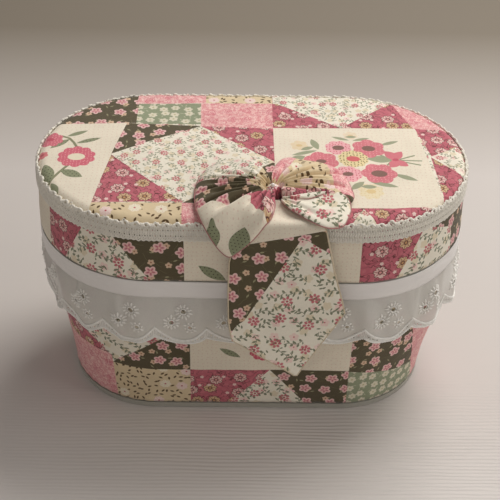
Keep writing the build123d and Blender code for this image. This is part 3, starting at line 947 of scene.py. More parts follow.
# floor, with painted shade towards the back and painted light towards the front
g = Graph("floor_paper")
p = g.obj()
x, y, z = g.split(p)
# painted shade: the floor darkens towards the back, standing in for light falling off
far_painted_shade = g.math("MULTIPLY_ADD", y, 3.4, -0.85, clamp=True)
cloud = g.noise(p, 2.2, 2.0)
# painted light: the floor is paler towards the front
front_painted_light = g.math("MULTIPLY_ADD", y, -9.0, -0.5, clamp=True)
col = g.mix(far_painted_shade, g.mix(cloud, srgb(202, 195, 191), srgb(212, 206, 200)), srgb(134, 125, 112))
col = g.mix(front_painted_light * 0.75, col, srgb(224, 219, 215))
warp = g.noise(g.vec(x * 9.0, y * 26.0), 1.0, 3.0)
ridge = g.sin(y * (2 * pi / 0.0034) + warp * 13.0)
fibre = g.noise(g.vec(x * 30.0, y * 500.0), 1.0, 3.0)
near = g.math("MULTIPLY_ADD", y, -14.0, -0.35, clamp=True) * g.math("MULTIPLY_ADD", x, 2.6, 0.62, clamp=True)
g.principled(col, 0.7, Normal=g.bump((ridge * 0.5 + fibre) * near + fibre * 0.25, 0.8, 0.00045))
bm = bmesh.new()
bmesh.ops.create_grid(bm, x_segments=2, y_segments=2, size=3.0)
me = bpy.data.meshes.new("floor")
bm.to_mesh(me)
bm.free()
me.materials.append(g.mat)
floor = bpy.data.objects.new("floor", me)
bpy.context.scene.collection.objects.link(floor)

# ------------------------------------------------------- carried-over plastics
for node, m in (("tub_shell", "tub_milky"), ("lid_shell", "lid_milky"), ("lower_tray_ledge", "lid_milky"),
                ("upper_tray", "tray_cream"), ("upper_tray_long_divider", "tray_cream"),
                ("upper_tray_cross_dividers", "tray_cream"), ("lower_tray", "tray_cream"),
                ("lower_tray_dividers", "tray_cream"), ("bow_pearl", "pearl")):
    for sl in frame["nodes"][node].material_slots:
        sl.material = MATS[m]
    for f in frame["nodes"][node].data.polygons:
        f.material_index = 0

# ---------------------------------------------------------------- body cover
RM_BODY = 73.0
PB = perimeter(RM_BODY)
BODY_PATCHES = [
    ([(-190, -4), (-100.5, -4), (-101.0, 50.5), (-190, 49)], "cotton_pink"),
    ([(-190, 49), (-101.0, 50.5), (-142, 80), (-142, 131), (-190, 131)], "cotton_rose"),
    ([(-142, 80), (-60, 80), (-95, 49), (-101.0, 49)], "cotton_white_floral"),
    ([(-101, 42.1), (-42.4, 42.1), (-42.4, 69), (-60, 76), (-95, 49)], "cotton_brown"),
    ([(-101, -4), (-42.4, -4), (-42.4, 42.1), (-101, 42.1)], "cotton_beige"),
    ([(-42.4, 42.4), (72.2, 42.4), (72.2, 110), (-42.4, 110)], "cotton_body_cream"),
    ([(-42.4, -4), (-22, -4), (14.8, 42.4), (-42.4, 42.4)], "cotton_rose"),
    ([(-22, -4), (49, -4), (14.8, 42.4)], "cotton_white_floral"),
    ([(49, -4), (73.2, -4), (72.2, 42.4), (14.8, 42.4)], "cotton_brown"),
    ([(72.2, 41.5), (134, 27), (124, 56), (117, 84), (72.2, 84)], "cotton_brown"),
    ([(73.2, -4), (147, -4), (134, 27), (72.2, 41.5)], "cotton_sage"),
    ([(147, -4), (175, -4), (175, 80), (118, 80), (124, 56), (134, 27)], "cotton_pink"),
    ([(175, -4), (230, -4), (175, 62)], "cotton_rose"),
    ([(230, -4), (230, 62), (175, 62)], "cotton_white_floral"),
    ([(175, 62), (230, 62), (230, 131), (175, 131)], "cotton_beige"),
    ([(230, -4), (290, -4), (290, 62), (230, 62)], "cotton_cream"),
    ([(230, 62), (290, 62), (260, 131), (230, 131)], "cotton_brown"),
    ([(290, -4), (PB / 2, -4), (PB / 2, 62), (290, 62)], "cotton_sage"),
    ([(290, 62), (PB / 2, 62), (PB / 2, 131), (260, 131)], "cotton_white_floral"),
    ([(-PB / 2, -4), (-300, -4), (-300, 62), (-PB / 2, 62)], "cotton_brown"),
    ([(-300, -4), (-240, -4), (-300, 62)], "cotton_rose"),
    ([(-240, -4), (-240, 62), (-300, 62)], "cotton_beige"),
    ([(-240, -4), (-190, -4), (-190, 62), (-240, 62)], "cotton_cream"),
    ([(-300, 62), (-240, 62), (-240, 131), (-300, 131)], "cotton_cream"),
]
bm = bm_grid(np.linspace(-PB / 2, PB / 2, 296), np.linspace(BODY_Z[0], BODY_Z[1], 50))
names = paint(bm, BODY_PATCHES, "cotton_white_floral")
set_uv(bm)


def body_map(co):
    s, z = co[:, 0], co[:, 1]
    w = np.clip((z - 8) / 20, 0, 1) * np.clip((130 - z) / 20, 0, 1)
    d = 0.55 * wob(s * 1.0, z * 0.45, 5, 46) * w + 0.22 * wob(s, z, 9, 13) * w
    d += 0.6 * np.exp(-((z - BODY_Z[0] - 1.2) / 1.1) ** 2) - 0.35 * np.exp(-((z - BODY_Z[0] - 4.0) / 1.5) ** 2)
    d += 0.25 * np.sin(s * 2 * pi / 11.0 + 2 * wob(s, z * 0, 3, 60)) * np.exp(-((z - BODY_Z[0]) / 5.0) ** 2)
    d += 3.2 * np.exp(-((s - 160) / 42) ** 2) * np.exp(-((z - 66) / 24) ** 2)    # the padding is fuller at this end
    x, y, nx, ny = ring_xy(s, body_r(z) - 0.35, RM_BODY)
    return np.c_[x + nx * d, y + ny * d, z]


move(bm, body_map)
body_cover = piece(bm, "body_cover_cloth", names, merge=0.02, thick=0.7, offset=-1.0)
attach(body_cover, "box")
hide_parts("body_cover", "body_wadding")
PB / 1000
(BODY_Z[1] - BODY_Z[0]) / 1000

# ------------------------------------------------------------------ lid band
RM_BAND = BAND_R - 0.8
PD = perimeter(RM_BAND)
BAND_PATCHES = [
    ([(-152, 140), (-135, 132), (-117, 166), (-121, 181), (-152, 181)], "cotton_rose"),
    ([(-135, 132), (-66, 132), (-104, 181), (-121, 181), (-117, 166)], "cotton_white_floral"),
    ([(-66, 132), (-45.2, 132), (-45.8, 181), (-104, 181)], "cotton_brown"),
    ([(-45.4, 132), (71.5, 132), (71.5, 181), (-45.4, 181)], "cotton_band_leaf"),
    ([(71.5, 132), (96, 132), (118, 170), (120, 181), (71.5, 181)], "cotton_rose"),
    ([(96, 132), (150, 132), (148, 156), (118, 170)], "cotton_white_floral"),
    ([(118, 170), (148, 156), (150, 132), (176, 132), (176, 181), (120, 181)], "cotton_brown"),
    ([(176, 132), (238, 132), (238, 181), (176, 181)], "cotton_cream"),
    ([(238, 132), (290, 132), (264, 181), (238, 181)], "cotton_rose"),
    ([(290, 132), (PD / 2, 132), (PD / 2, 181), (264, 181)], "cotton_white_floral"),
    ([(-PD / 2, 132), (-330, 132), (-330, 181), (-PD / 2, 181)], "cotton_pink"),
    ([(-330, 132), (-270, 132), (-270, 181), (-330, 181)], "cotton_beige"),
    ([(-270, 132), (-210, 132), (-240, 181), (-270, 181)], "cotton_brown"),
    ([(-210, 132), (-152, 132), (-152, 181), (-240, 181)], "cotton_cream"),
]
bm = bm_grid(np.linspace(-PD / 2, PD / 2, 330), np.linspace(BAND_Z[0], BAND_Z[1] + 1.0, 20))
names = paint(bm, BAND_PATCHES, "cotton_white_floral")
set_uv(bm)


def band_map(co):
    s, z = co[:, 0], co[:, 1]
    w = np.clip((z - BAND_Z[0]) / 6, 0, 1)
    d = 0.32 * wob(s, z * 0.5, 15, 38) * w + 0.12 * wob(s, z, 19, 9) * w
    d -= 0.5 * np.exp(-((z - BAND_Z[0]) / 1.2) ** 2)
    x, y, nx, ny = ring_xy(s, band_r(z) - 0.3, RM_BAND)
    return np.c_[x + nx * d, y + ny * d, z]


move(bm, band_map)
band = piece(bm, "lid_band_cloth", names, merge=0.02, thick=0.7, offset=-1.0)
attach(band, "lid")
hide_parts("lid_band_cover")
PD / 1000
(BAND_Z[1] + 1 - BAND_Z[0]) / 1000

# ------------------------------------------------------------- lid top, padded
CROWN = TOP_Z[1]
prof = [(r, CROWN + 1.3 * (1 - (r / 76) ** 2) - 0.25) for r in np.linspace(0, 75.6, 60)]
c0 = (75.6, CROWN - 0.25 - 6.7)
prof += [(c0[0] + 6.9 * math.sin(a), c0[1] + 6.7 * math.cos(a)) for a in np.linspace(0.03, pi / 2, 18)]
prof += [(82.55, TOP_Z[0] + 0.2)]
prof = np.array(prof)
plen = np.r_[0, np.cumsum(np.hypot(*np.diff(prof, axis=0).T))]
RHO = plen[-1]


def top_map(co):
    mx = np.clip(co[:, 0], -HS, HS)
    vx, vy = co[:, 0] - mx, co[:, 1]
    rho = np.hypot(vx, vy)
    safe = np.maximum(rho, 1e-9)
    dx, dy = vx / safe, vy / safe
    r = np.interp(rho, plen, prof[:, 0])
    z = np.interp(rho, plen, prof[:, 1])
    s = np.where(np.abs(co[:, 0]) < HS, co[:, 0], 80 * np.arctan2(dy, dx))
    flat = np.clip((76 - rho) / 25, 0, 1)
    z = z + 0.42 * wob(co[:, 0], co[:, 1], 23, 52) * flat + 0.12 * wob(co[:, 0], co[:, 1], 29, 17) * flat
    pull = np.exp(-((rho - 78.5) / 4.5) ** 2)
    z = z + 0.28 * np.sin(s * 2 * pi / 8.5 + 3 * wob(s, s * 0, 31, 50)) * pull
    return np.c_[mx + dx * r, dy * r, z]


TOP_PATCHES = [
    ([(-160, -95), (-111.5, -95), (-106.6, -63), (-89.9, 35.5), (-160, 34.3)], "cotton_left_block"),
    ([(-160, 34.3), (-83.3, 35.6), (-83.1, 64.5), (-84, 100), (-160, 100)], "cotton_brown"),
    ([(-89.9, 35.5), (-36.7, 33.2), (-98.0, -5.0)], "cotton_brown"),
    ([(-83.3, 34.6), (-36.8, 35.4), (-37.4, 65.8), (-83.1, 64.5)], "cotton_sage"),
    ([(-84.0, 64.5), (-33.8, 66.4), (-33.8, 100), (-84.0, 100)], "cotton_pink"),
    ([(-33.8, 66.4), (15.5, 67.0), (15.5, 100), (-33.8, 100)], "cotton_beige"),
    ([(-37.4, 65.8), (15.0, 67.0), (15.0, 30.6), (-36.7, 31.0)], "cotton_pink"),
    ([(-36.7, 32.8), (15.0, 30.6), (15.0, -14.5)], "cotton_rose"),
    ([(-98.0, -6.0), (-47.0, -61.0), (-106.6, -63.0)], "cotton_rose"),
    ([(-98.1, -5.9), (-36.7, 32.8), (15.0, -13.5), (-46.7, -62.6)], "cotton_white_fine"),
    ([(15.0, -13.5), (15.0, -62.8), (-46.7, -62.8)], "cotton_brown"),
    ([(-106.6, -63.0), (-47.2, -62.8), (-46.6, -100), (-113.0, -100)], "cotton_beige"),
    ([(-47.2, -62.8), (15.0, -64.5), (15.0, -100), (-46.6, -100)], "cotton_pink"),
    ([(15.0, 31.4), (117.2, 33.4), (127.9, -61.5), (92.0, -66.0), (15.0, -66.8)], "cotton_bouquet"),
    ([(15.5, 100), (15.5, 66.6), (18.0, 66.8), (64.0, 32.5), (15.0, 31.4)], "cotton_rose"),
    ([(15.0, 66.8), (64.0, 32.5), (15.0, 31.4)], "cotton_rose"),
    ([(64.0, 32.5), (103.5, 70.5), (117.2, 33.4)], "cotton_rose"),
    ([(64.0, 32.5), (18.0, 66.8), (15.5, 100), (120, 100), (103.5, 70.5)], "cotton_white_fine"),
    ([(103.5, 70.5), (120, 100), (160, 100), (160, 33.0), (116.0, 33.4)], "cotton_pink"),
    ([(117.2, 33.4), (160, 33.0), (160, 12.0), (143.6, 8.0), (124.8, -3.0)], "cotton_rose"),
    ([(124.8, -3.0), (143.6, 10.0), (160, 12.0), (160, -28.0), (143.6, -26.0)], "cotton_white_fine"),
    ([(124.2, -4.0), (143.6, -25.0), (160, -28), (160, -70), (127.9, -61.5)], "cotton_rose"),
    ([(15.0, -66.8), (92.0, -66.0), (127.9, -61.5), (150, -60), (150, -105), (15.0, -105)], "cotton_rose"),
    ([(72.3, -67.2), (86.5, -92), (57.5, -92)], "cotton_white_fine"),
]
bm = bmesh.new()
rhos = np.unique(np.r_[np.linspace(0, 75.6, 31), np.linspace(75.6, RHO, 14)])
th = np.linspace(-pi / 2, pi / 2, 62)[1:-1]
xs = np.linspace(-HS, HS, 56)
med, dr = [], []
for x in xs:
    med.append(x); dr.append((0, -1))
for a in th:
    med.append(HS); dr.append((math.cos(a), math.sin(a)))
for x in xs[::-1]:
    med.append(x); dr.append((0, 1))
for a in th[::-1]:
    med.append(-HS); dr.append((-math.cos(a), math.sin(a)))
med, dr = np.array(med), np.array(dr)
rows = []
for rho in rhos:
    rows.append([bm.verts.new((m + d[0] * rho, d[1] * rho, 0)) for m, d in zip(med, dr)])
n = len(med)
for a, b in zip(rows, rows[1:]):
    for i in range(n):
        j = (i + 1) % n
        bm.faces.new((a[i], b[i], b[j], a[j]))
bmesh.ops.remove_doubles(bm, verts=bm.verts, dist=0.001)
names = paint(bm, TOP_PATCHES, "cotton_white_fine")
set_uv(bm)
rim = [e for e in bm.edges if e.is_boundary]
rim_verts = {v for e in rim for v in e.verts}
move(bm, top_map)
r = bmesh.ops.extrude_edge_only(bm, edges=rim)
newv = [v for v in r["geom"] if isinstance(v, bmesh.types.BMVert)]
for v in newv:                                     # turn the edge in under the pad
    m = min(max(v.co.x, -HS), HS)
    d = Vector((v.co.x - m, v.co.y, 0)).normalized()
    v.co = Vector((m, 0, TOP_Z[0] + 0.1)) + d * 74.0
bmesh.ops.contextual_create(bm, geom=[e for e in bm.edges if e.is_boundary])
bmesh.ops.recalc_face_normals(bm, faces=bm.faces)
lid_top = piece(bm, "lid_top_padded", names)
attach(lid_top, "lid")
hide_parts("lid_top_cover", "lid_wadding")

# -------------------------------------------------------------- satin ribbon
PR = perimeter(RIBBON_R)
bm = bm_grid(np.linspace(-PR / 2, PR / 2, 420), np.linspace(RIBBON_Z[0], RIBBON_Z[1], 13))
set_uv(bm)


def ribbon_map(co):
    s, z = co[:, 0], co[:, 1]
    t = (z - RIBBON_Z[0]) / (RIBBON_Z[1] - RIBBON_Z[0])
    d = -0.5 + 0.38 * np.sin(pi * t) + 0.18 * wob(s, z * 0.4, 41, 30) + 0.12 * wob(s, z * 2.5, 43, 24)
    d += 0.25 * np.exp(-((t - 0.03) / 0.04) ** 2) + 0.25 * np.exp(-((t - 0.97) / 0.04) ** 2)
    x, y, nx, ny = ring_xy(s, RIBBON_R + 0.15, RIBBON_R)
    return np.c_[x + nx * d, y + ny * d, z + 0.25 * wob(s, s * 0, 45, 90)]


move(bm, ribbon_map)
ribbon = piece(bm, "ribbon_satin", ["satin"], merge=0.02, thick=0.35, offset=-1.0)
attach(ribbon, "box")
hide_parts("satin_ribbon")
PR / 1000
(RIBBON_Z[1] - RIBBON_Z[0]) / 1000

# ---------------------------------------------------------------- eyelet ruffle
SC, NSC = 38.05, 22                          # one scallop's width, how many
PC = SC * NSC
R_ROOT = 83.1
ROOT_Z = RUFFLE_Z[1]
HOLES = [(-6.6, 31.8, 1.8), (2.2, 22.8, 1.8), (7.0, 34.8, 1.5)]
PR2 = perimeter(R_ROOT)
rng = np.random.default_rng(71)
_fold_s = np.sort(rng.uniform(0, PC, 17))
_fold_a = rng.uniform(0.5, 1.0, 17)
_fold_w = rng.uniform(3.0, 6.5, 17)


def hem_t(s):
    q = np.abs(np.sin(pi * np.mod(s, SC) / SC))
    return 43.0 + 6.6 * q ** 0.8


def arc_t(s):
    """The embroidered scallop inside the hem."""
    q = np.abs(np.sin(pi * np.mod(s, SC) / SC))
    return 35.0 + 11.9 * q ** 0.9


def ruffle_map(s, t, lift=0.0):
    """s along the cloth, t down it from the root: position in millimetres, lifted off its outside."""
    s0 = (s - PC / 2) * (PR2 / PC) + 5.5
    k = np.clip((t - 9) / 34, 0, 1)
    wave = 1.35 * np.sin(s * 2 * pi / 41.0 + 2.2 * wob(s, s * 0, 51, 150)) * k
    wave = wave + 0.8 * wob(s, t * 0.6, 53, 26) * k
    for a, b, w in zip(_fold_s, _fold_a, _fold_w):   # sharper gathers falling from the ribbon
        d = np.mod(s - a - (t - 25) * 0.08 * (b - 0.7) * 6 + PC / 2, PC) - PC / 2
        wave = wave + 2.0 * b * (np.exp(-(d / w) ** 2) - 0.8 * np.exp(-((d - 2.0 * w) / w) ** 2)) * np.clip((t - 8) / 14, 0, 1) * np.clip((62 - t) / 30, 0, 1)
    for a, h, w in ((-121.5, 2.1, 1.7), (118.0, 1.5, 2.2), (-34.0, 0.9, 2.6)):   # narrow tucks under the ribbon
        wave = wave + h * np.exp(-((s0 - a + (t - 8) * 0.10) / w) ** 2) * np.clip((t - 6) / 8, 0, 1) * np.clip((31 - t) / 12, 0, 1)
    flare = 2.9 * np.clip((t - 9) / 22, 0, 1) ** 1.2 + 0.4 * k
    flare = flare - 4.6 * np.exp(-((s0 + 180) / 48) ** 2) * k    # it lies closer at this end
    R = R_ROOT - 0.3 + flare + wave + lift
    z = ROOT_Z - t * 1.0 + 0.45 * k * wob(s, s * 0, 57, 60)
    x, y, nx, ny = ring_xy(s0, R_ROOT, R_ROOT)
    return np.c_[x + nx * (R - R_ROOT), y + ny * (R - R_ROOT), z]


DOTS = [-15.6, -12.4, -9.0, 9.0, 12.4, 15.6]


def unit_scallop():
    """Flat mesh of one scallop with its eyelets cut out."""
    pts, edges = [], []

    def loop(p, close=True):
        b = len(pts)
        pts.extend(p)
        edges.extend([(b + i, b + (i + 1) % len(p)) for i in range(len(p) if close else len(p) - 1)])
    ts = list(np.linspace(0, 43.0, 20))
    hem = [(x, float(hem_t(np.array(x + SC / 2)))) for x in np.linspace(-SC / 2, SC / 2, 33)]
    hem[0], hem[-1] = (-SC / 2, 43.0), (SC / 2, 43.0)
    outline = [(-SC / 2, t) for t in ts[:-1]] + hem + [(SC / 2, t) for t in ts[-2::-1]]
    outline += [(x, 0.0) for x in np.linspace(SC / 2, -SC / 2, 15)[1:-1]]
    loop(outline)
    holes = []
    for hx, ht, hr in HOLES:
        a = np.linspace(0, 2 * pi, 16, endpoint=False)
        holes.append((hx, ht, hr))
        loop([(hx + hr * math.cos(i), ht + hr * math.sin(i)) for i in a])
    for x in DOTS:
        holes.append((x, float((hem_t(np.array(x + SC / 2)) + arc_t(np.array(x + SC / 2))) / 2), 0.55))
        a = np.linspace(0, 2 * pi, 8, endpoint=False)
        loop([(x + 0.55 * math.cos(i), holes[-1][1] + 0.55 * math.sin(i)) for i in a])
    for x in np.arange(-17.6, 17.7, 1.95):
        for t in np.arange(1.8, 50, 1.9):
            if t < float(hem_t(np.array(x + SC / 2))) - 0.8 and all(math.hypot(x - a, t - b) > r + 0.6 for a, b, r in holes):
                pts.append((x, t))
    out = delaunay_2d_cdt([Vector(p) for p in pts], edges, [], 0, 1e-6)
    V, F = out[0], out[2]
    V = np.array([v[:] for v in V])
    keep = []
    for f in F:
        c = V[list(f)].mean(0)
        if any(math.hypot(c[0] - a, c[1] - b) < r * 0.985 for a, b, r in holes):
            continue
        if c[1] > float(hem_t(np.array(c[0] + SC / 2))) - 1e-4:
            continue
        keep.append(tuple(f))
    return V, keep


UV_, UF = unit_scallop()
bm = bmesh.new()
for k in range(NSC):
    vs = [bm.verts.new((p[0] + SC / 2 + k * SC, p[1], 0)) for p in UV_]
    for f in UF:
        bm.faces.new([vs[i] for i in f])
loose = [v for v in bm.verts if not v.link_faces]
bmesh.ops.delete(bm, geom=loose, context="VERTS")
set_uv(bm)
move(bm, lambda co: ruffle_map(co[:, 0], co[:, 1]))
bmesh.ops.remove_doubles(bm, verts=bm.verts, dist=0.03)
bmesh.ops.recalc_face_normals(bm, faces=bm.faces)
for v in bm.verts:
    v.co = v.co
ruffle = piece(bm, "ruffle_batiste", ["batiste"])
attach(ruffle, "box")
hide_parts("eyelet_ruffle")
# embroidery on it: corded scallops, ringed eyelets, padded petals
parts = []
ss = np.linspace(0, PC, NSC * 56, endpoint=False)
teeth = 0.22 * np.sin(ss * 2 * pi / 1.5)
P = ruffle_map(ss, hem_t(ss) + 0.0 + teeth, 0.1)
parts.append((*tube(P, 0.62 + 0.16 * np.sin(ss * 2 * pi / 1.5), 6, closed=True), 0))
P = ruffle_map(ss, arc_t(ss), 0.35)
parts.append((*tube(P, 0.75 + 0.14 * np.sin(ss * 2 * pi / 1.5), 6, closed=True), 0))
P = ruffle_map(ss, arc_t(ss) + 1.3, 0.2)
parts.append((*tube(P, 0.3, 5, closed=True), 0))
P = ruffle_map(ss, hem_t(ss) - 1.3, 0.2)
parts.append((*tube(P, 0.3, 5, closed=True), 0))
for k in range(NSC):
    c = SC / 2 + k * SC
    for hi_, (hx, ht, hr) in enumerate(HOLES):
        a = np.linspace(0, 2 * pi, 18, endpoint=False)
        q = hr + 0.35
        P = ruffle_map(c + hx + q * np.cos(a), ht + q * np.sin(a), 0.15)
        parts.append((*tube(P, 0.45, 6, closed=True), 0))
        P = ruffle_map(c + hx + q * np.cos(a), ht + q * np.sin(a), -0.5)
        parts.append((*tube(P, 0.42, 5, closed=True), 0))
        npet = 12 if hi_ < 2 else 8
        for m in range(npet):                # satin-stitched petals round the eyelet
            b = 2 * pi * (m + 0.3 * hi_) / npet
            long = 1.0 + 0.25 * math.sin(3 * m + hi_)
            e = np.linspace(-1, 1, 7)
            rad = q + 1.0 + (1.55 if hi_ < 2 else 1.0) * long * (1 + e)
            px, pt = hx + rad * math.cos(b), ht + rad * math.sin(b) * 0.95
            if any(math.hypot(px[-1] - o[0], pt[-1] - o[1]) < o[2] + 2.6 for n_, o in enumerate(HOLES) if n_ != hi_):
                continue
            P = ruffle_map(c + px, pt, 0.2)
            parts.append((*tube(P, 0.10 + 0.62 * np.sqrt(1 - (0.97 * e) ** 2), 6), 0))
    for x in DOTS:
        t0 = float((hem_t(np.array(x + SC / 2)) + arc_t(np.array(x + SC / 2))) / 2)
        a = np.linspace(0, 2 * pi, 9, endpoint=False)
        P = ruffle_map(c + x + 0.75 * np.cos(a), t0 + 0.75 * np.sin(a), 0.1)
        parts.append((*tube(P, 0.2, 5, closed=True), 0))
    for x in np.arange(-18.4, 18.5, 1.15):   # bars stitched between the two scallops
        t0, t1 = float(arc_t(np.array(x + SC / 2))) + 1.4, float(hem_t(np.array(x + SC / 2))) - 1.4
        if abs(x) > 7 and t1 - t0 > 1.0 and all(abs(x - d) > 0.9 for d in DOTS):
            P = ruffle_map(np.full(4, c + x), np.linspace(t0, t1, 4), 0.1)
            parts.append((*tube(P, 0.3, 5), 0))
emb = join_parts("ruffle_embroidery", parts, ["embroidery_thread"])
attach(emb, "box")

# ----------------------------------------------------------------- cotton lace
lp = [(c0[0] + 7.3 * math.sin(a), c0[1] + 7.1 * math.cos(a)) for a in np.linspace(0.02, pi / 2, 20)]
lp += [(band_r(z) + 0.35, z) for z in np.linspace(175.2, 163.0, 14)]
lp = np.array(lp)
lq = np.r_[0, np.cumsum(np.hypot(*np.diff(lp, axis=0).T))]
LACE_W = 17.0
PL = perimeter(82.0)


def lace_map(s, q, lift=0.0):
    r = np.interp(q, lq, lp[:, 0])
    z = np.interp(q, lq, lp[:, 1])
    tr = np.gradient(lp[:, 0], lq)
    tz = np.gradient(lp[:, 1], lq)
    a, b = np.interp(q, lq, tr), np.interp(q, lq, tz)
    l = np.maximum(np.hypot(a, b), 1e-9)
    x, y, nx, ny = ring_xy(s, 82.0, 82.0)
    r = r + lift * (-b / l) - 82.0
    return np.c_[x + nx * r, y + ny * r, z + lift * a / l]


parts = []
N = 118
pitch = PL / N
ss = np.linspace(0, PL, N * 20, endpoint=False)
ph = 2 * pi * ss / pitch                     # picots
fine = ph * 2                                # open rows, twice as fine
sway = 0.4 * wob(ss, ss * 0, 61, 60)
bob = 0.45 * wob(ss, ss * 0, 63, 6)
uneven = 1.0 + 0.35 * wob(ss, ss * 0, 65, 9)
Q0, QW = 7.0, 0.86                           # where the lace starts, down from the crown, and how open it lies


def lace_row(q, lift, rad, shift=0.0, sides=5):
    parts.append((*tube(lace_map(ss + shift, Q0 + QW * q + sway, lift), rad, sides, closed=True), 0))


lace_row(2.0 - 2.5 * np.abs(np.sin(ph / 2)) * uneven, 0.9 + bob, 0.82 + 0.22 * np.sin(ph * 2) + 0.1 * np.sin(ph * 5), 0.0, 6)
lace_row(2.6 - 2.1 * np.abs(np.cos(ph / 2)) * uneven, 0.7 - bob * 0.6, 0.66 + 0.16 * np.cos(ph * 3), 0.0, 6)
loose = 1.0 + 0.5 * wob(ss, ss * 0, 67, 5)
lace_row(2.3 - 2.8 * np.abs(np.sin(ph / 2 + 0.5)) * loose, 1.15 + bob * 0.8, 0.34)
lace_row(3.6 - 3.1 * np.abs(np.cos(ph / 2 + 0.3)) * loose, 1.05 - bob, 0.30)
for q0, rad, f in ((3.2, 0.60, 1), (6.6, 0.52, 2), (7.4, 0.46, 1), (8.3, 0.48, 3), (11.6, 0.44, 2), (12.5, 0.42, 1)):
    lace_row(q0 + 0.18 * np.sin(fine * f + q0), 0.42 + 0.2 * np.cos(fine * 2 + q0), rad + 0.14 * np.sin(fine * 2 + q0))
for sgn in (-1, 1):
    lace_row(4.9 + 1.6 * sgn * np.arcsin(np.sin(fine)) * 2 / pi, 0.45 + 0.2 * sgn, 0.46)
    lace_row(10.0 + 1.5 * sgn * np.arcsin(np.sin(fine)) * 2 / pi, 0.4 + 0.2 * sgn, 0.42, pitch * 0.25)
lace_row(13.0 + 1.6 * np.abs(np.sin(fine / 2)) * uneven, 0.4 + bob * 0.3, 0.50)
lace_row(12.9 + 1.0 * np.abs(np.cos(fine / 2)), 0.5, 0.38)
lace = join_parts("lace_threads", parts, ["lace_thread"])
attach(lace, "lid")
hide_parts("crochet_lace")
# ------------------------------------------------------------------------ bow
KNOT = np.array((12.5, -57.0))


def smooth_line(P, n):
    """n points along a Catmull-Rom line through P, evenly spaced."""
    P = np.asarray(P, float)
    Q = np.vstack([2 * P[0] - P[1], P, 2 * P[-1] - P[-2]])
    out = []
    for i in range(1, len(Q) - 2):
        t = np.linspace(0, 1, 20, endpoint=False)[:, None]
        a, b, c, d = Q[i - 1], Q[i], Q[i + 1], Q[i + 2]
        out.append(0.5 * ((2 * b) + (c - a) * t + (2 * a - 5 * b + 4 * c - d) * t ** 2 + (3 * b - a - 3 * c + d) * t ** 3))
    out = np.vstack(out + [P[-1:]])
    l = np.r_[0, np.cumsum(np.linalg.norm(np.diff(out, axis=0), axis=1))]
    return np.c_[tuple(np.interp(np.linspace(0, l[-1], n), l, out[:, k]) for k in range(out.shape[1]))]


def fan(name, outline, root_z, root_r, puff, thick, pleats, patches, base, na=110, nt=60, over=None, seed=1, wr=0.35, centre=None):
    """A gathered loop: pleated at the knot, full at its edge. outline is 3-D, from one side of the knot to the other."""
    O = smooth_line(outline, na)
    K = KNOT if centre is None else np.array(centre)
    d = O[:, :2] - K
    ang = np.unwrap(np.arctan2(d[:, 1], d[:, 0]))
    rt = np.c_[K[0] + root_r * np.cos(ang), K[1] + root_r * np.sin(ang), np.full(na, root_z)]
    t = np.linspace(0, 1, nt)
    A, T = np.meshgrid(np.arange(na), t, indexing="ij")
    C = 0.5 * (rt + O)
    C[:, 2] = np.maximum(rt[:, 2], O[:, 2]) + puff
    if over is not None:                     # points whose edge hangs over the lid's front
        C = over(rt, O, C)
    tt = T[..., None]
    M = (1 - tt) ** 2 * rt[A] + 2 * tt * (1 - tt) * C[A] + tt ** 2 * O[A]
    env = np.sqrt(np.clip(1 - T ** 7, 0, 1)) * np.clip(T / 0.12, 0, 1) ** 0.5
    deg = np.degrees(ang)[A]
    fold = np.zeros_like(T)
    for a0, w, depth, reach in pleats:
        f = np.exp(-((deg - a0) / w) ** 2) * np.clip((reach - T) / 0.35, 0, 1)
        side = np.exp(-((deg - a0 - 1.9 * w) / (1.5 * w)) ** 2) * np.clip((reach - T) / 0.5, 0, 1)
        fold += (-1.25 * depth * f + 0.4 * depth * side) * np.clip(T / 0.1, 0, 1)
    amp = 0.5 + 0.5 * (A / (na - 1) * 0 + 1)
    rough = wr * wob(M[..., 0], M[..., 1], seed, 16) * env
    up = M.copy()
    up[..., 2] += thick * env + fold + rough
    low = M.copy()
    low[..., 2] -= thick * 0.45 * env
    if over is not None:                     # the hanging edge is thick outwards, not upwards
        h = np.clip((184 - M[..., 2]) / 14, 0, 1)
        up[..., 2] -= (thick * env) * h * 0.85
        up[..., 1] -= thick * 0.8 * env * h
        low[..., 2] += thick * 0.45 * env * h
    bm = bmesh.new()
    gu = [[bm.verts.new(up[i, j]) for j in range(nt)] for i in range(na)]
    gl = [[gu[i][j] if j in (0, nt - 1) else bm.verts.new(low[i, j]) for j in range(nt)] for i in range(na)]
    for i in range(na - 1):
        for j in range(nt - 1):
            for gk, rev in ((gu, False), (gl, True)):
                f = [gk[i][j], gk[i + 1][j], gk[i + 1][j + 1], gk[i][j + 1]]
                f = list(dict.fromkeys(f))
                if len(f) < 3:
                    continue
                bm.faces.new(f[::-1] if rev else f)
    for i in (0, na - 1):                    # close the two straight sides
        for j in range(nt - 1):
            f = list(dict.fromkeys([gu[i][j], gu[i][j + 1], gl[i][j + 1], gl[i][j]]))
            if len(f) >= 3:
                bm.faces.new(f if i else f[::-1])
    try:
        bm.faces.new([gu[i][0] for i in range(na)])
    except ValueError:
        pass
    bmesh.ops.recalc_face_normals(bm, faces=bm.faces)
    names = paint(bm, patches, base)

    def cloth_uv(co):                        # hanging parts keep their length in the print
        return np.c_[co[:, 0], co[:, 1] - np.clip(184.0 - co[:, 2], 0, 60)]
    set_uv(bm, cloth_uv)
    o = piece(bm, name, names)
    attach(o, "lid")
    return o


def over_edge(rt, O, C):
    hang = O[:, 2] < 183.0
    C = C.copy()
    C[hang, 0] = 0.35 * rt[hang, 0] + 0.65 * O[hang, 0]
    C[hang, 1] = -86.5
    C[hang, 2] = 197.0 + 0.15 * (183 - O[hang, 2])
    k = np.ones(5) / 5
    for j in range(3):                       # no step where the hanging part starts
        C[:, j] = np.convolve(np.pad(C[:, j], 2, mode="edge"), k, mode="valid")
    return C


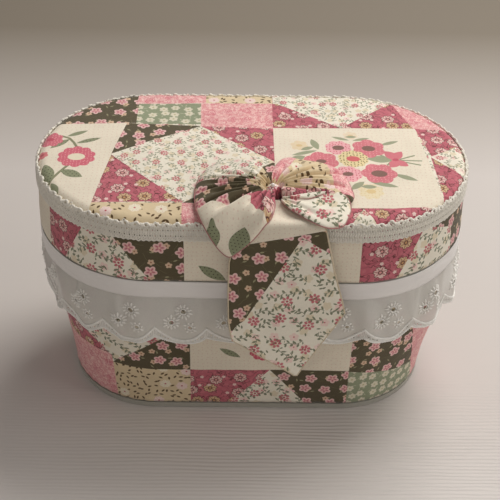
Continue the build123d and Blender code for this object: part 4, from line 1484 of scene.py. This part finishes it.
LEFT = [(9.5, -50.0, 190.0), (6.5, -40.0, 189.5), (3.2, -28.0, 188.0), (-2.0, -19.0, 187.0), (-10.0, -15.2, 186.5),
        (-18.0, -16.6, 186.0), (-25.0, -20.6, 186.0), (-31.5, -27.0, 186.0), (-36.5, -37.0, 186.0), (-38.9, -52.0, 186.0),
        (-38.3, -69.0, 186.0), (-35.3, -82.0, 185.5), (-31.0, -90.0, 181.0), (-26.0, -92.0, 172.6), (-21.0, -92.5, 165.4),
        (-15.8, -93.0, 161.8), (-10.6, -93.0, 165.3), (-6.2, -93.0, 169.4), (-1.7, -92.5, 174.0), (2.8, -91.0, 179.0),
        (7.0, -88.5, 184.0), (11.0, -84.0, 186.5), (13.6, -74.0, 188.6), (13.4, -66.0, 189.6)]
LEFT_PATCHES = [
    ([(-45, -75), (-31, -73.5), (-22.6, -75.2), (-13.6, -76.7), (-2, -72.5), (6, -64), (6, -40), (-45, -44)], "cotton_brown"),
    ([(-45, -10), (20, -10), (6, -40), (1.0, -47.0), (-11.0, -50.0), (-20.3, -47.6), (-24.9, -51.0), (-34.9, -47.4), (-45, -46)],
     "cotton_white_fine"),
    ([(-2.5, -78), (-2.0, -71.3), (6.0, -64.3), (11.2, -60.0), (18.0, -60), (18.0, -88), (9.5, -88.5)], "cotton_rose"),
    ([(-4.8, -57.5), (2.3, -46.0), (6.4, -36.0), (12.5, -45), (14, -57), (8, -63.0)], "cotton_beige"),
]
left = fan("bow_left_loop", LEFT, 190.0, 4.0, 3.6, 4.0,
           [(124, 4, 1.8, 0.45), (140, 3.4, 2.6, 0.6), (155, 2.6, 3.2, 0.8), (165, 1.9, 4.6, 1.05), (174, 1.8, 3.8, 0.85),
            (182, 1.7, 4.8, 1.05), (190, 1.9, 4.0, 0.8), (199, 2.1, 5.0, 1.05), (212, 2.6, 4.4, 0.8), (228, 3.0, 2.8, 0.5),
            (243, 3.4, 4.0, 0.6), (262, 4, 2.0, 0.5)],
           LEFT_PATCHES, "cotton_bow_cream", na=210, nt=64, over=over_edge, seed=3)
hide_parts("bow_loop_left")

RIGHT = [(12.0, -52.0, 190.0), (11.8, -44.8, 190.0), (14.2, -31.1, 189.0), (20.0, -18.8, 188.0), (26.2, -14.6, 187.0),
         (34.0, -17.4, 187.0), (43.0, -19.6, 187.0), (51.1, -22.5, 187.0), (58.3, -28.6, 187.0), (63.0, -39.1, 187.0),
         (65.5, -51.0, 187.0), (66.2, -59.1, 186.6), (63.5, -64.5, 185.6), (54.0, -66.0, 185.0), (44.0, -67.2, 185.0),
         (36.0, -68.2, 185.2), (26.0, -67.0, 186.6), (19.0, -64.5, 188.2)]
RIGHT_PATCHES = [
    ([(8, -44), (12.5, -31), (20, -10), (30, -10), (29.5, -19.6), (24.0, -36.0), (15.6, -50), (10, -50)], "cotton_pink"),
    ([(49.0, -10), (50.0, -29.3), (52.4, -44.4), (53.4, -58.0), (59.3, -62.0), (70, -62), (75, -40), (62, -10)], "cotton_pink"),
    ([(12, -59.6), (30, -61.0), (45, -61.0), (53, -61.2), (50, -80), (14, -80)], "cotton_rose"),
    ([(59.5, -61.5), (72, -59.0), (72, -80), (55, -80), (53, -66)], "cotton_brown"),
]
right = fan("bow_right_loop", RIGHT, 190.0, 4.0, 4.0, 4.0,
            [(88, 4, 2.0, 0.5), (70, 3.5, 2.6, 0.55), (54, 3.0, 2.6, 0.7), (40, 2.1, 3.6, 0.85), (25, 1.8, 4.8, 1.05), (15, 1.7, 3.6, 0.8),
             (6, 1.8, 4.6, 1.05), (-3, 1.9, 3.0, 0.7), (-11, 2.0, 2.6, 0.7)],
            RIGHT_PATCHES, "cotton_beige", na=160, nt=56, seed=7)
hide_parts("bow_loop_right_upper")

PETAL = [(19.0, -66.4, 190.2), (24.0, -67.2, 190.8), (30.5, -68.4, 191.4), (36.0, -68.6, 191.8), (42.0, -66.0, 192.2),
         (49.0, -62.6, 192.4), (56.4, -61.4, 191.6), (61.5, -64.8, 190.0), (63.2, -74.0, 187.5), (60.5, -83.1, 186.0),
         (57.0, -89.6, 184.8), (51.0, -91.2, 184.4), (44.5, -90.9, 185.2), (36.0, -87.0, 186.8), (28.5, -81.6, 188.2),
         (21.6, -75.6, 189.4), (18.2, -70.4, 189.8)]
petal = fan("bow_right_petal", PETAL, 189.8, 1.2, 0.5, 1.6, [(-12, 4.0, 0.5, 0.5), (-34, 5, 0.8, 0.9), (-52, 5, 0.6, 0.6)],
            [], "cotton_white_floral", na=110, nt=40, seed=11, wr=0.25, centre=(17.3, -67.2))
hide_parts("bow_loop_right_lower")

# seams: a narrow rose fold shows along the loops' edges
parts = []
for line, i0, i1, r0 in ((LEFT, 8, 23, 0.42), (PETAL, 0, 16, 0.34), (RIGHT, 2, 12, 0.3)):
    P = smooth_line(line[i0:i1 + 1], 90)
    parts.append((*tube(P, r0, 6), 0))
seam = join_parts("bow_seams", parts, ["piping_rose"])
lay = seam.data.uv_layers.new(name="cloth")
for l in seam.data.loops:
    v = seam.data.vertices[l.vertex_index].co
    lay.data[l.index].uv = (v.x + v.z, v.y)
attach(seam, "lid")

# gathered centre: pleats running into a small knot
parts = []
na, nb = 72, 18
th = np.linspace(0, 2 * pi, na, endpoint=False)
ph = np.linspace(0.0, pi * 0.5, nb)
TH, PH = np.meshgrid(th, ph, indexing="ij")
rr = (7.2 + 0.55 * np.cos(TH * 13) * np.cos(PH)) * np.cos(PH) ** 0.7
V = np.stack([KNOT[0] + rr * np.cos(TH) * 0.86, KNOT[1] + rr * np.sin(TH), 186.0 + 7.4 * np.sin(PH) + 0.35 * np.cos(TH * 13) * np.cos(PH)], -1)
bm = bmesh.new()
gv = [[bm.verts.new(V[i, j]) for j in range(nb - 1)] for i in range(na)]
tip = bm.verts.new((KNOT[0], KNOT[1], 193.2))
for i in range(na):
    k = (i + 1) % na
    for j in range(nb - 2):
        bm.faces.new((gv[i][j], gv[k][j], gv[k][j + 1], gv[i][j + 1]))
    bm.faces.new((gv[i][-1], gv[k][-1], tip))
bm.faces.new([gv[i][0] for i in range(na)][::-1])
bmesh.ops.recalc_face_normals(bm, faces=bm.faces)
names = paint(bm, [([(-5, -57), (30, -57), (30, -80), (-5, -80)], "cotton_rose")], "cotton_beige")
set_uv(bm)
knot = piece(bm, "bow_gathers", names)
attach(knot, "lid")
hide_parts("bow_knot")

# pearl cluster on the knot
bm = bmesh.new()
for k, (a, r0, rad) in enumerate([(0, 0, 1.7)] + [(2 * pi * i / 8, 2.5, 0.75) for i in range(8)]):
    mtx = Matrix.Translation((KNOT[0] + r0 * math.cos(a), KNOT[1] + r0 * math.sin(a), 193.6 - 0.35 * r0 + (0.3 if k == 0 else 0)))
    bmesh.ops.create_icosphere(bm, subdivisions=3, radius=rad, matrix=mtx)
pearl = piece(bm, "bow_pearls", ["pearl"])
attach(pearl, "lid")
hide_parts("bow_pearl")

# ----------------------------------------------------------------------- tail
AX_Y, AX_Z = TAIL_AXIS[1] * 1000, TAIL_AXIS[2] * 1000
tilt = math.radians(4.2)
# w runs down the tail: negative on the crown, 0 at the fold, positive below it
tp = [(-66.0, 188.6), (-72.0, 187.0), (-78.0, 185.9), (-83.0, 185.4)]
cy, cz, cr = -85.2, 181.4, 4.0
tp += [(cy - cr * math.sin(a), cz + cr * math.cos(a)) for a in np.linspace(0.05, pi / 2 - tilt, 9)]
y0, z0 = tp[-1]
tp += [(y0 - k * math.sin(tilt), z0 - k * math.cos(tilt)) for k in np.linspace(2, 124, 40)]
tp = np.array(tp)
tl = np.r_[0, np.cumsum(np.hypot(*np.diff(tp, axis=0).T))]
k0 = int(np.argmin(np.abs(tp[:, 1] - AX_Z)))
tl -= tl[k0]
TAIL = [(9.6, tl[0]), (16.6, tl[0]), (21.0, tl[0] + 6), (34.0, tl[0] + 16), (44.0, -4.5), (46.6, 0.5), (48.6, 10), (53.4, 32), (60.0, 56),
        (62.3, 66.0), (32.4, 118.2), (30.2, 118.2), (-13.0, 88.5), (-15.6, 72), (-16.0, 50), (-15.6, 26), (-14.0, 19), (-7.6, 10), (-4.5, 0),
        (-1.5, -6.0), (3.5, tl[0] + 14), (8.0, tl[0] + 5)]


def tail_map(x, w, lift=0.0):
    y = np.interp(w, tl, tp[:, 0])
    z = np.interp(w, tl, tp[:, 1])
    dy = np.interp(w, tl, np.gradient(tp[:, 0], tl))
    dz = np.interp(w, tl, np.gradient(tp[:, 1], tl))
    h = np.clip(w / 30, 0, 1)
    d = 0.9 * np.sin((x - 5) / 26.0 + w / 60) * h + 0.35 * wob(x, w, 81, 30) * h
    # the lower left edge curls forward a little, and so does the tip
    e = (x + 15.0) * 0.565 + (118.2 - w) * 0.82 - 24.0
    d += 2.1 * np.exp(-np.clip((x + 15.5), 0, 60) / 3.2) * np.clip((w - 55) / 25, 0, 1)
    d += 1.2 * np.exp(-np.clip(118 - w, 0, 100) / 5.0)
    d += 0.5 * wob(x, w, 83, 14) * np.clip(-w / 6, 0, 1)
    n = np.hypot(dy, dz)
    return np.c_[x, y + (dz / n) * (d + lift), z - (dy / n) * (d + lift)]


def poly_mesh(outline, step):
    P = np.asarray(outline, float)
    pts, b = [], []
    for p, q in zip(P, np.roll(P, -1, 0)):
        n = max(1, int(np.hypot(*(q - p)) / step))
        for k in range(n):
            b.append(tuple(p + (q - p) * k / n))
    edges = [(i, (i + 1) % len(b)) for i in range(len(b))]
    lo, hi = P.min(0), P.max(0)
    gx, gy = np.meshgrid(np.arange(lo[0], hi[0], step), np.arange(lo[1], hi[1], step))
    G = np.c_[gx.ravel(), gy.ravel()]
    G = G[inside(G, [tuple(p) for p in P])]
    B = np.array(b)
    d = np.min(np.hypot(G[:, None, 0] - B[None, :, 0], G[:, None, 1] - B[None, :, 1]), axis=1)
    G = G[d > step * 0.55]
    out = delaunay_2d_cdt([Vector(p) for p in b] + [Vector(p) for p in G], edges, [], 0, 1e-6)
    V = np.array([v[:] for v in out[0]])
    F = [tuple(f) for f in out[2]]
    C = np.array([V[list(f)].mean(0) for f in F])
    ok = inside(C, [tuple(p) for p in P])
    bm = bmesh.new()
    vs = [bm.verts.new((p[0], p[1], 0)) for p in V]
    for f, k in zip(F, ok):
        if k:
            bm.faces.new([vs[i] for i in f])
    bmesh.ops.delete(bm, geom=[v for v in bm.verts if not v.link_faces], context="VERTS")
    return bm


TAIL_PATCHES = [
    ([(-30, tl[0] - 5), (80, tl[0] - 5), (80, -4.0), (46.4, 0.6), (24.1, 5.8), (-0.3, 11.0), (-30, 18)], "cotton_cream"),
    ([(31.8, 5.6), (37.8, 10.4), (49.9, 17.8), (75, 34), (75, 130), (-13.4, 130), (-20, 92), (-9.7, 75.6), (-5, 72)], "cotton_white_floral"),
]
bm = poly_mesh(TAIL, 1.9)
names = paint(bm, TAIL_PATCHES, "cotton_brown")
set_uv(bm, lambda co: np.c_[co[:, 0] + 300, co[:, 1]])
move(bm, lambda co: tail_map(co[:, 0], co[:, 1]))
bmesh.ops.recalc_face_normals(bm, faces=bm.faces)
c = sum((f.normal.y * f.calc_area() for f in bm.faces))
if c > 0:
    bmesh.ops.reverse_faces(bm, faces=bm.faces)
tail = piece(bm, "bow_tail_cloth", names, thick=1.1, offset=-1.0)
# stitched edge: a fine cream roll round the cut
b = []
P = np.asarray(TAIL, float)
for p, q in zip(P[4:19], P[5:20]):
    n = max(1, int(np.hypot(*(q - p)) / 1.2))
    b += [tuple(p + (q - p) * k / n) for k in range(n)]
b = np.array(b)
edge = join_parts("bow_tail_edge", [(*tube(tail_map(b[:, 0], b[:, 1], -0.45), 0.62, 6), 0)], ["hem_cream"])
lay = edge.data.uv_layers.new(name="cloth")
for l in edge.data.loops:
    v = edge.data.vertices[l.vertex_index].co
    lay.data[l.index].uv = (v.x + v.y, v.z)
for o in (tail, edge):
    AX_Y / 1000
    (AX_Z + 2.2) / 1000
    AX_Y / 1000
    (AX_Z - 2.8) / 1000
    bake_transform(o)
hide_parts("bow_tail_top", "bow_tail_hanging")
A2 = np.array(TAIL)
ta = abs(float(np.sum(A2[:, 0] * np.roll(A2[:, 1], -1) - np.roll(A2[:, 0], -1) * A2[:, 1]))) / 2
max(ta * 1e-6, 0.3 * 0.079 * 0.142)

# ------------------------------------------------------------- hinge at the back
_lo, _hi = node_mm("hinge_strip_lower")
_l2, _h2 = node_mm("hinge_strip_upper")
bm = bm_grid(np.linspace(_lo[0], _hi[0], 90), np.linspace(_lo[2], _h2[2], 34))
set_uv(bm)


def hinge_map(co):
    x, z = co[:, 0], co[:, 1]
    y = RIBBON_R + 0.45 + 0.12 * wob(x, z, 91, 25) + 0.3 * np.exp(-((z - HINGE[2] * 1000) / 2.0) ** 2)
    return np.c_[x, y, z]


move(bm, hinge_map)
tape = piece(bm, "hinge_tape_cloth", ["cotton_cream"], thick=0.45, offset=0.0)
parts = []
hx0, hx1, hz0, hz1 = _lo[0], _hi[0], _lo[2], _h2[2]
for zz in (hz0 + 1.6, hz1 - 1.6):             # running stitches along the two long edges
    for x0 in np.arange(hx0 + 2.0, hx1 - 3.0, 3.2):
        xx = np.linspace(x0, x0 + 2.1, 5)
        lift = 0.32 * np.sin(np.linspace(0, pi, 5))
        P = hinge_map(np.c_[xx, np.full(5, zz)])
        P[:, 1] += 0.18 + lift * 0.6
        parts.append((*tube(P, 0.24, 6), 0))
for xx in (hx0 + 1.6, hx1 - 1.6):
    for z0 in list(np.arange(hz0 + 2.4, HINGE[2] * 1000 - 4.6, 3.0)) + list(np.arange(HINGE[2] * 1000 + 2.8, hz1 - 4.0, 3.0)):
        P = hinge_map(np.c_[np.full(5, xx), np.linspace(z0, z0 + 1.9, 5)])
        P[:, 1] += 0.18 + 0.2 * np.sin(np.linspace(0, pi, 5))
        parts.append((*tube(P, 0.24, 6), 0))
stitches = join_parts("hinge_tape_stitches", parts, ["piping_rose"])
lay = stitches.data.uv_layers.new(name="cloth")
for l in stitches.data.loops:
    v = stitches.data.vertices[l.vertex_index].co
    lay.data[l.index].uv = (v.x, v.z)
for o in (tape, stitches):
    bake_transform(o)
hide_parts("hinge_strip_lower", "hinge_strip_upper")
(_hi[0] - _lo[0]) / 1000

# --------------------------------------------------------------------- linings
_lo, _hi = node_mm("body_lining")
LR1 = _hi[1]
zt, zb = _hi[2], _lo[2]
Pn = perimeter(68.0)
bm = bm_grid(np.linspace(-Pn / 2, Pn / 2, 240), np.linspace(zb, zt, 40))
set_uv(bm)


def lining_map(co):
    s, z = co[:, 0], co[:, 1]
    r = LR1 + BODY_FLARE * (z - zt) - 0.35 + 0.14 * wob(s, z * 0.4, 95, 24)
    x, y, nx, ny = ring_xy(s, r, 68.0)
    return np.c_[x, y, z]


move(bm, lining_map)
lin = piece(bm, "body_lining_cloth", ["cotton_cream"], merge=0.02, thick=0.4, offset=0.0)
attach(lin, "box")
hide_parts("body_lining")
Pn / 1000
(zt - zb) / 1000

_lo, _hi = node_mm("lid_band_lining")
PLn = perimeter(_hi[1])
bm = bm_grid(np.linspace(-PLn / 2, PLn / 2, 240), np.linspace(_lo[2], _hi[2], 9))
set_uv(bm)
lr = _hi[1]
lz = (_lo[2], _hi[2])


def lidlin_map(co):
    s, z = co[:, 0], co[:, 1]
    r = lr - 0.0402 * (z - lz[0]) - 0.4 + 0.10 * wob(s, z * 0.4, 96, 22)
    x, y, nx, ny = ring_xy(s, r, lr)
    return np.c_[x, y, z]


move(bm, lidlin_map)
ll = piece(bm, "lid_side_lining_cloth", ["cotton_cream"], merge=0.02, thick=0.4, offset=0.0)
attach(ll, "lid")
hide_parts("lid_band_lining")
PLn / 1000
(lz[1] - lz[0]) / 1000


def quilted(name, node, body, face_up, pitch=22.0):
    """Quilted pad on a stadium plan: diamond channels in the face that shows."""
    lo, hi = node_mm(node)
    R = hi[1]
    rh = np.unique(np.r_[np.linspace(0, R - 3.0, 42), np.linspace(R - 3.0, R, 6)])
    t_ = np.linspace(-pi / 2, pi / 2, 50)[1:-1]
    x_ = np.linspace(-HS, HS, 74)
    m_ = [(x, 0, -1) for x in x_] + [(HS, math.cos(a), math.sin(a)) for a in t_]
    m_ += [(x, 0, 1) for x in x_[::-1]] + [(-HS, -math.cos(a), math.sin(a)) for a in t_[::-1]]
    bm = bmesh.new()
    mid, h = (lo[2] + hi[2]) / 2, (hi[2] - lo[2]) / 2
    sides = []
    for sgn in (1, -1):
        rows = []
        for rho in rh:
            row = []
            for m, dx, dy in m_:
                x, y = m + dx * rho, dy * rho
                edge = math.sqrt(max(0.0, 1 - (max(0.0, rho - (R - 2.6)) / 2.6) ** 2))
                q = 0.0
                if (sgn > 0) == face_up:
                    a, b = (x + y) / pitch, (x - y) / pitch
                    q = 0.62 * (math.exp(-(((a + 0.5) % 1 - 0.5) * pitch / 1.5) ** 2) + math.exp(-(((b + 0.5) % 1 - 0.5) * pitch / 1.5) ** 2))
                row.append(bm.verts.new((x, y, mid + sgn * max(0.02, (h - q) * edge))))
            rows.append(row)
        n_ = len(m_)
        for a, b in zip(rows, rows[1:]):
            for i in range(n_):
                j = (i + 1) % n_
                bm.faces.new((a[i], b[i], b[j], a[j]) if sgn > 0 else (a[j], b[j], b[i], a[i]))
        sides.append(rows[-1])
    n_ = len(m_)
    for i in range(n_):
        j = (i + 1) % n_
        bm.faces.new((sides[0][i], sides[1][i], sides[1][j], sides[0][j]))
    bmesh.ops.remove_doubles(bm, verts=bm.verts, dist=0.001)
    bmesh.ops.recalc_face_normals(bm, faces=bm.faces)
    for f in bm.faces:
        f.material_index = 0
    set_uv(bm)
    o = piece(bm, name, ["cotton_cream"])
    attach(o, body)
    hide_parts(node)
    return o


quilted("floor_pad_quilted", "floor_pad", "box", True)
quilted("lid_lining_quilted", "lid_lining", "lid", False)


# ------------------------------------------------------------------- pull tabs
def tabs(name, node, body):
    """Folded ribbon loops at a tray's two ends."""
    lo, hi = node_mm(node)
    bm = bmesh.new()
    layer = None
    for sg in (-1, 1):
        x0 = hi[0] - 0.45
        zt, zb = hi[2], lo[2]
        path = []
        for k in np.linspace(0, 1, 14):
            path.append((x0 + 0.15, zb + (zt - 2.2 - zb) * k))
        for a in np.linspace(0, pi, 12)[1:-1]:
            path.append((x0 - 1.05 + 1.2 * math.cos(a), zt - 2.2 + 2.0 * math.sin(a)))
        for k in np.linspace(1, 0, 14):
            bulge = 1.1 * math.sin(pi * k)
            path.append((x0 - 1.0 - bulge, zb + (zt - 2.2 - zb) * k))
        path = np.array(path)
        ys = np.linspace(-6.5, 6.5, 14)
        rows = [[bm.verts.new((sg * p[0], y, p[1])) for y in ys] for p in path]
        for a, b in zip(rows, rows[1:]):
            for i in range(len(ys) - 1):
                f = (a[i], a[i + 1], b[i + 1], b[i])
                bm.faces.new(f if sg > 0 else f[::-1])
    bmesh.ops.recalc_face_normals(bm, faces=bm.faces)
    for f in bm.faces:
        f.material_index = 0
    set_uv(bm, lambda co: np.c_[co[:, 2], co[:, 1]])
    o = piece(bm, name, ["satin"], thick=0.4, offset=0.0)
    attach(o, body)
    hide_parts(node)
    node.split("_pull")[0]


tabs("upper_tray_tab_ribbon", "upper_tray_pull_tabs", "upper_tray")
tabs("lower_tray_tab_ribbon", "lower_tray_pull_tabs", "lower_tray")

bpy.context.view_layer.update()
